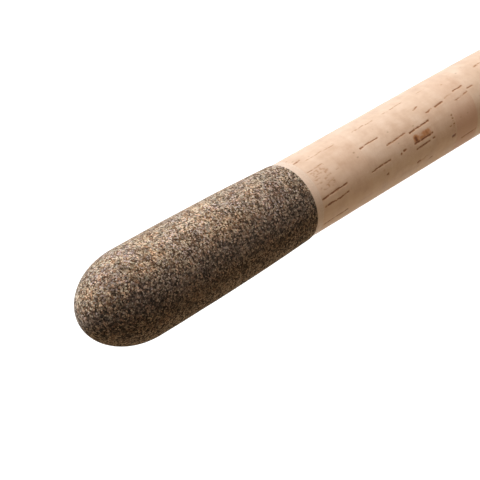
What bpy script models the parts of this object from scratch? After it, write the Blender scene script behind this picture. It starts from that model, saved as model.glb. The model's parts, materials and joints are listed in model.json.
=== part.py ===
"""Feeder rod of the ten-foot class: a cork-handled butt section, a tip section on a put-over
ferrule, and a push-in quiver tip.

The rod lies along +Y, butt end towards -Y. The origin is on its axis, midway along the reel seat,
and the guides hang below the blank (-Z), as they do with a fixed-spool reel. Units are metres.
"""

import math

import bmesh
import bpy
from mathutils import Vector

# Clearances
GLUE_LINE = 0.0001
BORE_CLEARANCE = 0.0002
FERRULE_CLEARANCE = 0.00025
RUNNING_CLEARANCE = 0.0003
WRAP_CLEARANCE = 0.0001
FOOT_CLEARANCE = 0.0001
INSERT_CLEARANCE = 0.0001

# Butt cap of composite cork: an elliptical end, a full belly and a slow taper to the joint
BUTT_CAP_LENGTH = 0.0872
BUTT_CAP_END_LENGTH = 0.0205
BUTT_CAP_DIAMETER = 0.0292
BUTT_CAP_JOINT_DIAMETER = 0.0267
BUTT_CAP_EDGE_RADIUS = 0.0003
BUTT_CAP_TAPER_POWER = 2.3
BUTT_CAP_END_THICKNESS = 0.0120

# Cork handle: a thin trim ring, natural rings as faced by hand, then the rest of the rear grip
CORK_DIAMETER = 0.0260
TRIM_RING_LENGTH = 0.0031
CORK_RING_LENGTHS = (0.0127, 0.0113, 0.0105, 0.0115, 0.0115, 0.0111, 0.0115)
REAR_GRIP_LENGTH = 0.1600
REAR_GRIP_WAIST_DIAMETER = 0.0246
REAR_GRIP_FRONT_DIAMETER = 0.0252
FORE_GRIP_LENGTH = 0.0760
FORE_GRIP_REAR_DIAMETER = 0.0240
FORE_GRIP_FRONT_DIAMETER = 0.0182

# Collars either side of the seat and in front of the fore grip
REAR_COLLAR_LENGTH = 0.0040
REAR_COLLAR_DIAMETER = 0.0256
FORE_COLLAR_LENGTH = 0.0060
FORE_COLLAR_FRONT_WALL = 0.0009
COLLAR_EDGE = 0.0005

# Reel seat: a barrel with a threaded front end and a flat bed, which stands a little proud
# between the hoods, where the middle of the reel's foot rests
SEAT_LENGTH = 0.1080
SEAT_DIAMETER = 0.0216
SEAT_BORE_DIAMETER = 0.0164
SEAT_BED_DEPTH = 0.0094
SEAT_BED_RELIEF = 0.0003
SEAT_BED_FROM_HOOD = 0.0020
SEAT_THREAD_DIAMETER = 0.0206
SEAT_THREAD_SPARE = 0.0045
SEAT_EDGE = 0.0006
ARBOR_LENGTH = 0.0180
ARBOR_INSET = 0.0060

# Hoods: round collars that swell into a pocket for one end of the reel's foot
HOOD_LENGTH = 0.0240
HOOD_WALL = 0.0015
HOOD_SWELL = 0.0044
HOOD_MOUTH_SLOPE = 0.30
HOOD_POCKET_DEPTH = 0.0140
HOOD_POCKET_WIDTH = 0.0172
HOOD_POCKET_MOUTH_HEIGHT = 0.0062
HOOD_POCKET_END_HEIGHT = 0.0028
HOOD_POCKET_OVERLAP = 0.0012
HOOD_TRAVEL = 0.0180

# Lock nut
NUT_LENGTH = 0.0090
NUT_DIAMETER = 0.0248
NUT_FLUTES = 16
NUT_FLUTE_DEPTH = 0.0007
NUT_CHAMFER = 0.0008
NUT_FROM_SEAT_END = 0.0015

# Blanks: carbon tubes for the two sections, a solid tapered rod for the quiver tip
BUTT_SECTION_LENGTH = 1.2800
BUTT_BLANK_BASE_DIAMETER = 0.0155
BUTT_BLANK_TOP_DIAMETER = 0.0104
BUTT_BLANK_WALL = 0.0011
TIP_SECTION_LENGTH = 1.2800
TIP_BLANK_TOP_WALL = 0.0007
TIP_BLANK_WALL = 0.0009
SOCKET_WALL = 0.0008
FERRULE_OVERLAP = 0.0600
QUIVER_LENGTH = 0.5420
QUIVER_PLUG_LENGTH = 0.0420
QUIVER_BASE_DIAMETER = 0.0029
QUIVER_TIP_DIAMETER = 0.0012

# Thread wraps: a thin underwrap on the blank, and a cover over each foot
UNDERWRAP_THICKNESS = 0.00025
WRAP_COVER = 0.00035
WRAP_END_THICKNESS = 0.00015
WRAP_RAMP = 0.0030
WRAP_INNER_RAMP = 0.0012
SOCKET_WRAP_LENGTH = 0.0300
QUIVER_SOCKET_WRAP_LENGTH = 0.0140
SOCKET_WRAP_THICKNESS = 0.0004

# Guides on the two sections: ring size is the outside diameter of the ring's frame
GUIDE_1_RING = 0.0250
GUIDE_1_BEHIND_FERRULE = 0.0900
TIP_SECTION_RINGS = (0.0200, 0.0160, 0.0120, 0.0100, 0.0080)
TIP_SECTION_FIRST_GUIDE = 0.2700
TIP_SECTION_LAST_GUIDE_FROM_END = 0.0450
TIP_SECTION_SPACING_RATIO = 0.83
GUIDE_HEIGHT_RATIO = 1.07
GUIDE_SPAN_BASE = 0.0100
GUIDE_SPAN_RATIO = 2.1
GUIDE_FOOT_INNER_SHARE = 0.26
GUIDE_BAND_WALL = 0.0008
GUIDE_BAND_WIDTH = 0.0020
GUIDE_WIRE_BASE = 0.0005
GUIDE_WIRE_RATIO = 0.032
GUIDE_LEG_SPREAD_SHARE = 0.55
GUIDE_LEG_REACH_SHARE = 0.62
GUIDE_LEG_POINTS = 5
GUIDE_FOOT_WIDTH_BASE = 0.0014
GUIDE_FOOT_WIDTH_RATIO = 0.050
GUIDE_FOOT_THICKNESS_BASE = 0.0005
GUIDE_FOOT_THICKNESS_RATIO = 0.018
FOOT_TIP_SHARE = 0.4
INSERT_WALL_BASE = 0.0009
INSERT_WALL_RATIO = 0.045
INSERT_WIDTH = 0.0024

# Single-foot guides on the quiver tip, and its tip ring
QUIVER_RINGS = (0.0060, 0.0055, 0.0050, 0.0045, 0.0045, 0.0045)
QUIVER_FIRST_GUIDE = 0.0650
QUIVER_LAST_GUIDE_FROM_END = 0.0620
QUIVER_SPACING_RATIO = 0.92
QUIVER_RING_WALL = 0.0009
QUIVER_RING_WIDTH = 0.0011
QUIVER_RING_LIFT = 0.0016
QUIVER_WIRE_DIAMETER = 0.0006
QUIVER_LEG_POINTS = 4
QUIVER_FOOT_START = 0.0022
QUIVER_FOOT_LENGTH = 0.0080
QUIVER_FOOT_WIDTH = 0.0012
QUIVER_FOOT_THICKNESS = 0.00045
TIP_TUBE_LENGTH = 0.0100
TIP_TUBE_WALL = 0.00035
TIP_TUBE_OVERHANG = 0.0010
TIP_RING = 0.0050
TIP_RING_WIDTH = 0.0014
TIP_RING_WALL = 0.0006
TIP_INSERT_WALL = 0.0008

# Hook keeper: a bent wire loop on the blank in front of the fore grip
KEEPER_FROM_COLLAR = 0.0450
KEEPER_WIRE_DIAMETER = 0.0011
KEEPER_LOOP_LENGTH = 0.0120
KEEPER_LOOP_HEIGHT = 0.0062
KEEPER_FOOT_LENGTH = 0.0080

# Facets round a turned piece
GRIP_STEPS = 26
SEAT_STEPS = 24
BLANK_STEPS = 12
QUIVER_STEPS = 10
SMALLEST_RING_STEPS = 12

MERGE_DISTANCE = 0.000001
SHARP_ANGLE = math.radians(35)

# A foot is (width, thickness at its root, share of it left at its tip)
quiver_foot = (QUIVER_FOOT_WIDTH, QUIVER_FOOT_THICKNESS, FOOT_TIP_SHARE)
keeper_foot = (KEEPER_WIRE_DIAMETER, KEEPER_WIRE_DIAMETER, 1.0)

# Stations along the rod, worked out from the middle of the reel seat
seat_rear = -SEAT_LENGTH / 2
seat_front = SEAT_LENGTH / 2
rear_collar_rear = seat_rear - GLUE_LINE - REAR_COLLAR_LENGTH
rear_grip_rear = rear_collar_rear - GLUE_LINE - REAR_GRIP_LENGTH
cork_rings_rear = rear_grip_rear - sum(length + GLUE_LINE for length in CORK_RING_LENGTHS)
trim_ring_rear = cork_rings_rear - GLUE_LINE - TRIM_RING_LENGTH
butt_cap_front = trim_ring_rear - GLUE_LINE
butt_end = butt_cap_front - BUTT_CAP_LENGTH
fore_grip_rear = seat_front + GLUE_LINE
fore_collar_rear = fore_grip_rear + FORE_GRIP_LENGTH + GLUE_LINE
fore_collar_front = fore_collar_rear + FORE_COLLAR_LENGTH
nut_rear = seat_front - NUT_FROM_SEAT_END - NUT_LENGTH
thread_rear = nut_rear - HOOD_TRAVEL - SEAT_THREAD_SPARE
sliding_hood_mouth = nut_rear - RUNNING_CLEARANCE - HOOD_LENGTH
fixed_hood_mouth = seat_rear + HOOD_LENGTH
bed_rear = fixed_hood_mouth + SEAT_BED_FROM_HOOD
bed_front = sliding_hood_mouth - SEAT_BED_FROM_HOOD
butt_blank_base = butt_end + BUTT_CAP_END_THICKNESS + GLUE_LINE
butt_blank_top = butt_end + BUTT_SECTION_LENGTH
tip_blank_base = butt_blank_top - FERRULE_OVERLAP
tip_blank_top = tip_blank_base + TIP_SECTION_LENGTH
quiver_base = tip_blank_top - QUIVER_PLUG_LENGTH
quiver_end = quiver_base + QUIVER_LENGTH


def taper(y_start, radius_start, y_end, radius_end):
    """The radius at any station of a straight taper between two stations."""

    def radius_at(y):
        share = (y - y_start) / (y_end - y_start)
        return radius_start + (radius_end - radius_start) * share

    return radius_at


butt_radius = taper(
    butt_blank_base, BUTT_BLANK_BASE_DIAMETER / 2, butt_blank_top, BUTT_BLANK_TOP_DIAMETER / 2
)
socket_radius = butt_radius(tip_blank_base) + FERRULE_CLEARANCE + SOCKET_WALL
quiver_socket_radius = QUIVER_BASE_DIAMETER / 2 + FERRULE_CLEARANCE
tip_radius = taper(
    tip_blank_base, socket_radius, tip_blank_top, quiver_socket_radius + TIP_BLANK_TOP_WALL
)
quiver_radius = taper(
    tip_blank_top, QUIVER_BASE_DIAMETER / 2, quiver_end, QUIVER_TIP_DIAMETER / 2
)


# Scene and materials


def clear_scene():
    for obj in list(bpy.data.objects):
        bpy.data.objects.remove(obj)


def new_collection(name, hidden=False):
    collection = bpy.data.collections.new(name)
    collection.hide_render = hidden
    bpy.context.scene.collection.children.link(collection)
    return collection


def new_material(name, colour, roughness, metallic=0.0):
    material = bpy.data.materials.new(name)
    material.diffuse_color = (*colour, 1.0)
    material.use_nodes = True
    shader = material.node_tree.nodes["Principled BSDF"]
    shader.inputs["Base Color"].default_value = (*colour, 1.0)
    shader.inputs["Roughness"].default_value = roughness
    shader.inputs["Metallic"].default_value = metallic
    return material


clear_scene()
parts = new_collection("feeder_rod")
helpers = new_collection("cutters", hidden=True)

composite_cork = new_material("composite_cork", (0.115, 0.080, 0.052), 0.75)
natural_cork = new_material("natural_cork", (0.56, 0.37, 0.24), 0.65)
trim_cork = new_material("trim_cork", (0.58, 0.42, 0.31), 0.60)
black_nylon = new_material("black_nylon", (0.018, 0.018, 0.020), 0.45)
paper_arbor = new_material("paper_arbor", (0.48, 0.38, 0.25), 0.90)
stainless = new_material("stainless_steel", (0.62, 0.62, 0.63), 0.22, 1.0)
dark_alloy = new_material("dark_alloy", (0.10, 0.10, 0.11), 0.30, 1.0)
carbon_lacquer = new_material("carbon_lacquer", (0.014, 0.014, 0.016), 0.16)
thread_resin = new_material("thread_resin", (0.022, 0.020, 0.020), 0.12)
ring_ceramic = new_material("ring_ceramic", (0.045, 0.045, 0.050), 0.10)
quiver_paint = new_material("quiver_paint", (0.78, 0.78, 0.74), 0.30)


# Modelling tools


def new_empty(name, y):
    """A joint's frame on the rod's axis; it carries the pieces of one moving group."""
    empty = bpy.data.objects.new(name, None)
    empty.empty_display_size = 0.02
    empty.location = (0.0, y, 0.0)
    parts.objects.link(empty)
    return empty


def place(obj, group, location):
    """Puts an object at a world position under its group's empty."""
    obj.parent = group
    obj.location = Vector(location) - group.location


def new_object(name, mesh, material=None, group=None, location=(0.0, 0.0, 0.0)):
    """A visible piece if it has a material, and otherwise a hidden cutter or joining shape."""
    obj = bpy.data.objects.new(name, mesh)
    if material:
        parts.objects.link(obj)
        mesh.materials.clear()
        mesh.materials.append(material)
        place(obj, group, location)
    else:
        helpers.objects.link(obj)
        obj.hide_render = True
        obj.display_type = "WIRE"
        obj.location = location
    return obj


def shade(mesh):
    mesh.shade_smooth()
    mesh.set_sharp_from_angle(angle=SHARP_ANGLE)


def evaluated_mesh(obj):
    bpy.context.view_layer.update()
    graph = bpy.context.evaluated_depsgraph_get()
    return bpy.data.meshes.new_from_object(obj.evaluated_get(graph))


def turned_mesh(name, profile, steps):
    """A body of revolution about Y. The profile is (y, radius) from its front end, down the
    outside and back up any bore; it is closed unless both ends lie on the axis."""
    vertices = [(radius, 0.0, y) for y, radius in profile]
    edges = [(i, i + 1) for i in range(len(profile) - 1)]
    if profile[0][1] > 0 or profile[-1][1] > 0:
        edges.append((len(profile) - 1, 0))
    outline = bpy.data.meshes.new(name + "_outline")
    outline.from_pydata(vertices, edges, [])
    spun = bpy.data.objects.new(name + "_outline", outline)
    helpers.objects.link(spun)
    screw = spun.modifiers.new("Turn", "SCREW")
    screw.axis = "Z"
    screw.angle = 2 * math.pi
    screw.steps = steps
    screw.render_steps = steps
    screw.use_merge_vertices = True
    screw.merge_threshold = MERGE_DISTANCE
    spun.rotation_euler.x = -math.pi / 2
    mesh = evaluated_mesh(spun)
    mesh.transform(spun.matrix_world)
    mesh.name = name
    bpy.data.objects.remove(spun)
    shade(mesh)
    return mesh


def turned(name, profile, steps, material, group, y):
    mesh = turned_mesh(name, profile, steps)
    return new_object(name, mesh, material, group, (0.0, y, 0.0))


def tube_profile(outer, inner):
    """Joins an outside and a bore, each listed from rear to front, into one turning profile."""
    return list(reversed(outer)) + list(inner)


def loft_mesh(name, sections, closed=False):
    """A skin through sections with the same number of points. It is capped at both ends, or
    closed on itself where the sections run along the outside and back through the bore."""
    bm = bmesh.new()
    loops = [[bm.verts.new(point) for point in section] for section in sections]
    pairs = list(zip(loops, loops[1:]))
    if closed:
        pairs.append((loops[-1], loops[0]))
    for near, far in pairs:
        for i in range(len(near)):
            j = (i + 1) % len(near)
            bm.faces.new((near[i], near[j], far[j], far[i]))
    if not closed:
        bm.faces.new(loops[0])
        bm.faces.new(loops[-1])
    bmesh.ops.recalc_face_normals(bm, faces=bm.faces)
    mesh = bpy.data.meshes.new(name)
    bm.to_mesh(mesh)
    bm.free()
    shade(mesh)
    return mesh


def circle(y, radius, steps, drop=0.0):
    """Points round the rod's axis at one station, with the centre dropped below it."""
    angles = [2 * math.pi * i / steps for i in range(steps)]
    return [(radius * math.cos(a), y, radius * math.sin(a) - drop) for a in angles]


def wire_mesh(name, points, diameter):
    """A bent wire as a welded mesh, from a curve with a round bevel."""
    curve = bpy.data.curves.new(name + "_path", "CURVE")
    curve.dimensions = "3D"
    curve.bevel_depth = diameter / 2
    curve.bevel_resolution = 1
    curve.use_fill_caps = True
    spline = curve.splines.new("POLY")
    spline.points.add(len(points) - 1)
    for spline_point, point in zip(spline.points, points):
        spline_point.co = (*point, 1.0)
    path = bpy.data.objects.new(name + "_path", curve)
    helpers.objects.link(path)
    mesh = evaluated_mesh(path)
    bpy.data.objects.remove(path)
    bm = bmesh.new()
    bm.from_mesh(mesh)
    bmesh.ops.remove_doubles(bm, verts=bm.verts, dist=MERGE_DISTANCE)
    bmesh.ops.recalc_face_normals(bm, faces=bm.faces)
    bm.to_mesh(mesh)
    bm.free()
    mesh.name = name
    return mesh


def arc_points(start, control, end, count):
    """Points on the quadratic curve from start to end that is drawn towards control."""
    points = []
    for i in range(count):
        t = i / (count - 1)
        blend = Vector(start) * (1 - t) ** 2 + Vector(control) * 2 * t * (1 - t) + Vector(end) * t**2
        points.append(tuple(blend))
    return points


def join_or_cut(obj, other, operation):
    boolean = obj.modifiers.new(other.name, "BOOLEAN")
    boolean.operation = operation
    boolean.solver = "EXACT"
    boolean.object = other


def cut(obj, cutter):
    join_or_cut(obj, cutter, "DIFFERENCE")


def join(obj, other):
    join_or_cut(obj, other, "UNION")


# Cork handle


def butt_cap_outline():
    """(distance from the butt end, radius): a quarter ellipse, then the belly's slow taper."""
    belly = BUTT_CAP_DIAMETER / 2
    joint = BUTT_CAP_JOINT_DIAMETER / 2
    end_points = 8
    body_points = 5
    outline = []
    for i in range(end_points):
        angle = math.pi / 2 * i / (end_points - 1)
        along = BUTT_CAP_END_LENGTH * (1 - math.cos(angle))
        outline.append((along, belly * math.sin(angle)))
    body = BUTT_CAP_LENGTH - BUTT_CAP_EDGE_RADIUS - BUTT_CAP_END_LENGTH
    for i in range(1, body_points + 1):
        share = i / body_points
        along = BUTT_CAP_END_LENGTH + body * share
        outline.append((along, belly - (belly - joint) * share**BUTT_CAP_TAPER_POWER))
    for angle in (math.radians(45), math.radians(90)):
        along = BUTT_CAP_LENGTH - BUTT_CAP_EDGE_RADIUS * (1 - math.sin(angle))
        outline.append((along, joint - BUTT_CAP_EDGE_RADIUS * (1 - math.cos(angle))))
    return outline


def bore_radius(y):
    """Radius of a hole that is glued over the butt blank at a station."""
    return butt_radius(y) + BORE_CLEARANCE


def build_butt_cap(group):
    """Closed at the butt end; its blind bore takes the end of the blank."""
    outline = butt_cap_outline()
    bore = [
        (BUTT_CAP_END_THICKNESS, 0.0),
        (BUTT_CAP_END_THICKNESS, bore_radius(butt_end + BUTT_CAP_END_THICKNESS)),
        (BUTT_CAP_LENGTH, bore_radius(butt_cap_front)),
    ]
    profile = bore + list(reversed(outline))
    turned("butt_cap", profile, GRIP_STEPS, composite_cork, group, butt_end)


def grip_ring(name, rear, outline, material, group, steps=GRIP_STEPS):
    """A turned sleeve glued over the butt blank; the outline is (distance from rear, radius)."""
    length = outline[-1][0]
    bore = [(0.0, bore_radius(rear)), (length, bore_radius(rear + length))]
    turned(name, tube_profile(outline, bore), steps, material, group, rear)


def build_cork_rings(group):
    radius = CORK_DIAMETER / 2
    grip_ring(
        "trim_ring", trim_ring_rear, [(0.0, radius), (TRIM_RING_LENGTH, radius)], trim_cork, group
    )
    rear = cork_rings_rear
    for number, length in enumerate(CORK_RING_LENGTHS, start=1):
        outline = [(0.0, radius), (length, radius)]
        grip_ring(f"cork_ring_{number}", rear, outline, natural_cork, group)
        rear += length + GLUE_LINE


def smooth_outline(length, stations):
    """An outline through (share of length, radius) stations, eased between them."""
    pieces = 3
    outline = [(0.0, stations[0][1])]
    for (share_a, radius_a), (share_b, radius_b) in zip(stations, stations[1:]):
        for i in range(1, pieces + 1):
            t = i / pieces
            ease = t * t * (3 - 2 * t)
            along = length * (share_a + (share_b - share_a) * t)
            outline.append((along, radius_a + (radius_b - radius_a) * ease))
    return outline


def build_grips(group):
    """The rear grip's remaining rings and the fore grip, each glued up and turned as one."""
    rear_stations = [
        (0.0, CORK_DIAMETER / 2),
        (0.55, REAR_GRIP_WAIST_DIAMETER / 2),
        (1.0, REAR_GRIP_FRONT_DIAMETER / 2),
    ]
    rear_outline = smooth_outline(REAR_GRIP_LENGTH, rear_stations)
    grip_ring("rear_grip", rear_grip_rear, rear_outline, natural_cork, group)
    fore_stations = [(0.0, FORE_GRIP_REAR_DIAMETER / 2), (1.0, FORE_GRIP_FRONT_DIAMETER / 2)]
    fore_outline = smooth_outline(FORE_GRIP_LENGTH, fore_stations)
    grip_ring("fore_grip", fore_grip_rear, fore_outline, natural_cork, group)


def build_collars(group):
    rear = REAR_COLLAR_DIAMETER / 2
    rear_outline = [
        (0.0, rear - COLLAR_EDGE),
        (COLLAR_EDGE, rear),
        (REAR_COLLAR_LENGTH - COLLAR_EDGE, rear),
        (REAR_COLLAR_LENGTH, rear - COLLAR_EDGE),
    ]
    grip_ring("rear_collar", rear_collar_rear, rear_outline, dark_alloy, group, SEAT_STEPS)
    fore = FORE_GRIP_FRONT_DIAMETER / 2
    fore_outline = [
        (0.0, fore),
        (FORE_COLLAR_LENGTH / 3, fore),
        (FORE_COLLAR_LENGTH, bore_radius(fore_collar_rear) + FORE_COLLAR_FRONT_WALL),
    ]
    grip_ring("fore_collar", fore_collar_rear, fore_outline, dark_alloy, group, SEAT_STEPS)


# Reel seat


def cut_flat(seat, name, rear, front, depth):
    """Mills the barrel's underside flat between two stations, at a distance from the axis."""
    bm = bmesh.new()
    bmesh.ops.create_cube(bm, size=1.0)
    bmesh.ops.scale(bm, vec=(SEAT_DIAMETER * 2, front - rear, SEAT_DIAMETER), verts=bm.verts)
    mesh = bpy.data.meshes.new(name)
    bm.to_mesh(mesh)
    bm.free()
    middle = (0.0, (rear + front) / 2, -depth - SEAT_DIAMETER / 2)
    cut(seat, new_object(name, mesh, location=middle))


def build_seat(group):
    """Barrel with a flat bed milled along its underside; the threads' crests set its front."""
    barrel = SEAT_DIAMETER / 2
    thread = SEAT_THREAD_DIAMETER / 2
    outer = [
        (0.0, barrel - SEAT_EDGE),
        (SEAT_EDGE, barrel),
        (thread_rear - seat_rear, barrel),
        (thread_rear - seat_rear + SEAT_EDGE, thread),
        (SEAT_LENGTH - SEAT_EDGE, thread),
        (SEAT_LENGTH, thread - SEAT_EDGE),
    ]
    bore = [(0.0, SEAT_BORE_DIAMETER / 2), (SEAT_LENGTH, SEAT_BORE_DIAMETER / 2)]
    seat = turned(
        "reel_seat", tube_profile(outer, bore), SEAT_STEPS, black_nylon, group, seat_rear
    )
    relief_depth = SEAT_BED_DEPTH - SEAT_BED_RELIEF
    cut_flat(seat, "bed", seat_rear - SEAT_EDGE, seat_front + SEAT_EDGE, SEAT_BED_DEPTH)
    cut_flat(seat, "rear_relief", seat_rear - SEAT_EDGE * 2, bed_rear, relief_depth)
    cut_flat(seat, "front_relief", bed_front, seat_front + SEAT_EDGE * 2, relief_depth)


def build_arbors(group):
    """Paper sleeves that centre the seat on the thinner blank."""
    outer = SEAT_BORE_DIAMETER / 2 - BORE_CLEARANCE
    rears = {
        "arbor_rear": seat_rear + ARBOR_INSET,
        "arbor_front": seat_front - ARBOR_INSET - ARBOR_LENGTH,
    }
    for name, rear in rears.items():
        outline = [(0.0, outer), (ARBOR_LENGTH, outer)]
        grip_ring(name, rear, outline, paper_arbor, group, BLANK_STEPS)


hood_bore = SEAT_DIAMETER / 2 + RUNNING_CLEARANCE
hood_flat = SEAT_BED_DEPTH + RUNNING_CLEARANCE


def hood_sections():
    """Sections from the mouth to the collar: a circle that swells downwards at the mouth, each
    section leaning back at the top, and upright at the collar."""
    count = 7
    radius = hood_bore + HOOD_WALL
    sections = []
    for i in range(count):
        share = i / (count - 1)
        fade = 1 - share * share * (3 - 2 * share)
        swell = HOOD_SWELL * fade
        lean = HOOD_MOUTH_SLOPE * (1 - share)
        section = []
        for step in range(SEAT_STEPS):
            angle = 2 * math.pi * step / SEAT_STEPS
            down = max(0.0, -math.sin(angle))
            reach = radius + swell * down * down
            x = reach * math.cos(angle)
            z = reach * math.sin(angle)
            section.append((x, HOOD_LENGTH * share + lean * (z + radius), z))
        sections.append(section)
    return sections


def pocket_sections():
    """The space for the end of the reel's foot, from in front of the mouth to its blind end."""
    half_width = HOOD_POCKET_WIDTH / 2
    roof = SEAT_BED_DEPTH - HOOD_POCKET_OVERLAP
    mouth_reach = HOOD_POCKET_DEPTH
    count = 11
    sections = []
    stations = (
        (-mouth_reach, HOOD_POCKET_MOUTH_HEIGHT),
        (0.0, HOOD_POCKET_MOUTH_HEIGHT),
        (HOOD_POCKET_DEPTH, HOOD_POCKET_END_HEIGHT),
    )
    for along, height in stations:
        depth = height + HOOD_POCKET_OVERLAP
        section = []
        for i in range(count):
            angle = math.pi * i / (count - 1)
            x = half_width * math.cos(angle)
            section.append((x, along, -roof - depth * math.sin(angle)))
        sections.append(section)
    return sections


def d_bore_sections():
    """The collar's bore with the flat that keys it to the barrel's bed."""
    flat_corner = -math.asin(hood_flat / hood_bore)
    sweep = math.pi - 2 * flat_corner
    sections = []
    for along in (-HOOD_LENGTH, 2 * HOOD_LENGTH):
        section = []
        for i in range(SEAT_STEPS):
            angle = flat_corner + sweep * i / (SEAT_STEPS - 1)
            section.append((hood_bore * math.cos(angle), along, hood_bore * math.sin(angle)))
        sections.append(section)
    return sections


def hood(name, mouth, turn, group):
    """A hood with its mouth at a station; a half turn about Z points it the other way."""
    body = new_object(name, loft_mesh(name, hood_sections()), stainless, group, (0.0, mouth, 0.0))
    body.rotation_euler.z = turn
    cutters = {
        "_bore": loft_mesh(name + "_bore", d_bore_sections()),
        "_pocket": loft_mesh(name + "_pocket", pocket_sections()),
    }
    for suffix, mesh in cutters.items():
        cutter = new_object(name + suffix, mesh, location=(0.0, mouth, 0.0))
        cutter.rotation_euler.z = turn
        cut(body, cutter)


def build_nut(group):
    """A ring with shallow finger flutes and chamfered ends."""
    steps = NUT_FLUTES * 2
    crest = NUT_DIAMETER / 2
    bore = SEAT_THREAD_DIAMETER / 2 + RUNNING_CLEARANCE

    def fluted(along, radius, depth):
        section = []
        for i in range(steps):
            angle = 2 * math.pi * i / steps
            reach = radius - (depth if i % 2 else 0.0)
            section.append((reach * math.cos(angle), along, reach * math.sin(angle)))
        return section

    sections = [
        fluted(0.0, crest - NUT_CHAMFER, 0.0),
        fluted(NUT_CHAMFER, crest, NUT_FLUTE_DEPTH),
        fluted(NUT_LENGTH - NUT_CHAMFER, crest, NUT_FLUTE_DEPTH),
        fluted(NUT_LENGTH, crest - NUT_CHAMFER, 0.0),
        circle(NUT_LENGTH, bore, steps),
        circle(0.0, bore, steps),
    ]
    mesh = loft_mesh("lock_nut", sections, closed=True)
    new_object("lock_nut", mesh, dark_alloy, group, (0.0, nut_rear, 0.0))


# Blanks


def build_butt_blank(group):
    length = butt_blank_top - butt_blank_base
    base = BUTT_BLANK_BASE_DIAMETER / 2
    top = BUTT_BLANK_TOP_DIAMETER / 2
    outer = [(0.0, base), (length, top)]
    bore = [(0.0, base - BUTT_BLANK_WALL), (length, top - BUTT_BLANK_WALL)]
    profile = tube_profile(outer, bore)
    turned("butt_blank", profile, BLANK_STEPS, carbon_lacquer, group, butt_blank_base)


def build_tip_blank(group):
    """Its base is a socket over the butt blank, and its open top takes the quiver's plug."""
    shoulder = butt_blank_top + RUNNING_CLEARANCE
    outer = [(0.0, tip_radius(tip_blank_base)), (TIP_SECTION_LENGTH, tip_radius(tip_blank_top))]
    stations = [
        (tip_blank_base, butt_radius(tip_blank_base) + FERRULE_CLEARANCE),
        (shoulder, butt_radius(butt_blank_top) + FERRULE_CLEARANCE),
        (shoulder, tip_radius(shoulder) - TIP_BLANK_WALL),
        (quiver_base - RUNNING_CLEARANCE, quiver_socket_radius),
        (tip_blank_top, quiver_socket_radius),
    ]
    bore = [(y - tip_blank_base, radius) for y, radius in stations]
    profile = tube_profile(outer, bore)
    turned("tip_blank", profile, BLANK_STEPS, carbon_lacquer, group, tip_blank_base)


def build_quiver_blank(group):
    plug = QUIVER_BASE_DIAMETER / 2
    outline = [
        (0.0, 0.0),
        (0.0, plug),
        (QUIVER_PLUG_LENGTH, plug),
        (QUIVER_LENGTH, QUIVER_TIP_DIAMETER / 2),
        (QUIVER_LENGTH, 0.0),
    ]
    outline.reverse()
    turned("quiver_blank", outline, QUIVER_STEPS, quiver_paint, group, quiver_base)


def socket_wrap(name, rear, length, radius_at, group):
    """A whipping that strengthens an open end of a blank."""
    inner = [(0.0, radius_at(rear)), (length, radius_at(rear + length))]
    bore = [(y, radius + WRAP_CLEARANCE) for y, radius in inner]
    thin = WRAP_CLEARANCE + WRAP_END_THICKNESS
    full = WRAP_CLEARANCE + SOCKET_WRAP_THICKNESS
    outer = [
        (0.0, radius_at(rear) + thin),
        (WRAP_RAMP, radius_at(rear + WRAP_RAMP) + full),
        (length - WRAP_RAMP, radius_at(rear + length - WRAP_RAMP) + full),
        (length, radius_at(rear + length) + thin),
    ]
    turned(name, tube_profile(outer, bore), BLANK_STEPS, thread_resin, group, rear)


# Guides


def foot_rise(radius_at, y):
    """Distance from the axis to the face of a foot that lies on the underwrap at a station."""
    return radius_at(y) + WRAP_CLEARANCE + UNDERWRAP_THICKNESS + FOOT_CLEARANCE


def foot_mesh(name, near, far, rise, foot, grow=0.0, lead=0.0):
    """A foot as a tapered plate under the blank, from its root at near to its thin tip at far.
    A foot is (width, thickness, tip's share of it). A pocket for one is larger by grow all
    round, and its slopes run on past the root by lead."""
    width, thickness, tip_share = foot
    direction = 1 if far > near else -1
    slope = thickness * (1 - tip_share) / abs(far - near)
    half = width / 2 + grow
    top = -rise + grow
    ends = (
        (near - direction * lead, thickness + slope * lead),
        (far + direction * grow, thickness * tip_share),
    )
    sections = []
    for y, thick in ends:
        bottom = -rise - thick - grow
        sections.append([(-half, y, top), (half, y, top), (half, y, bottom), (-half, y, bottom)])
    return loft_mesh(name, sections)


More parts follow.
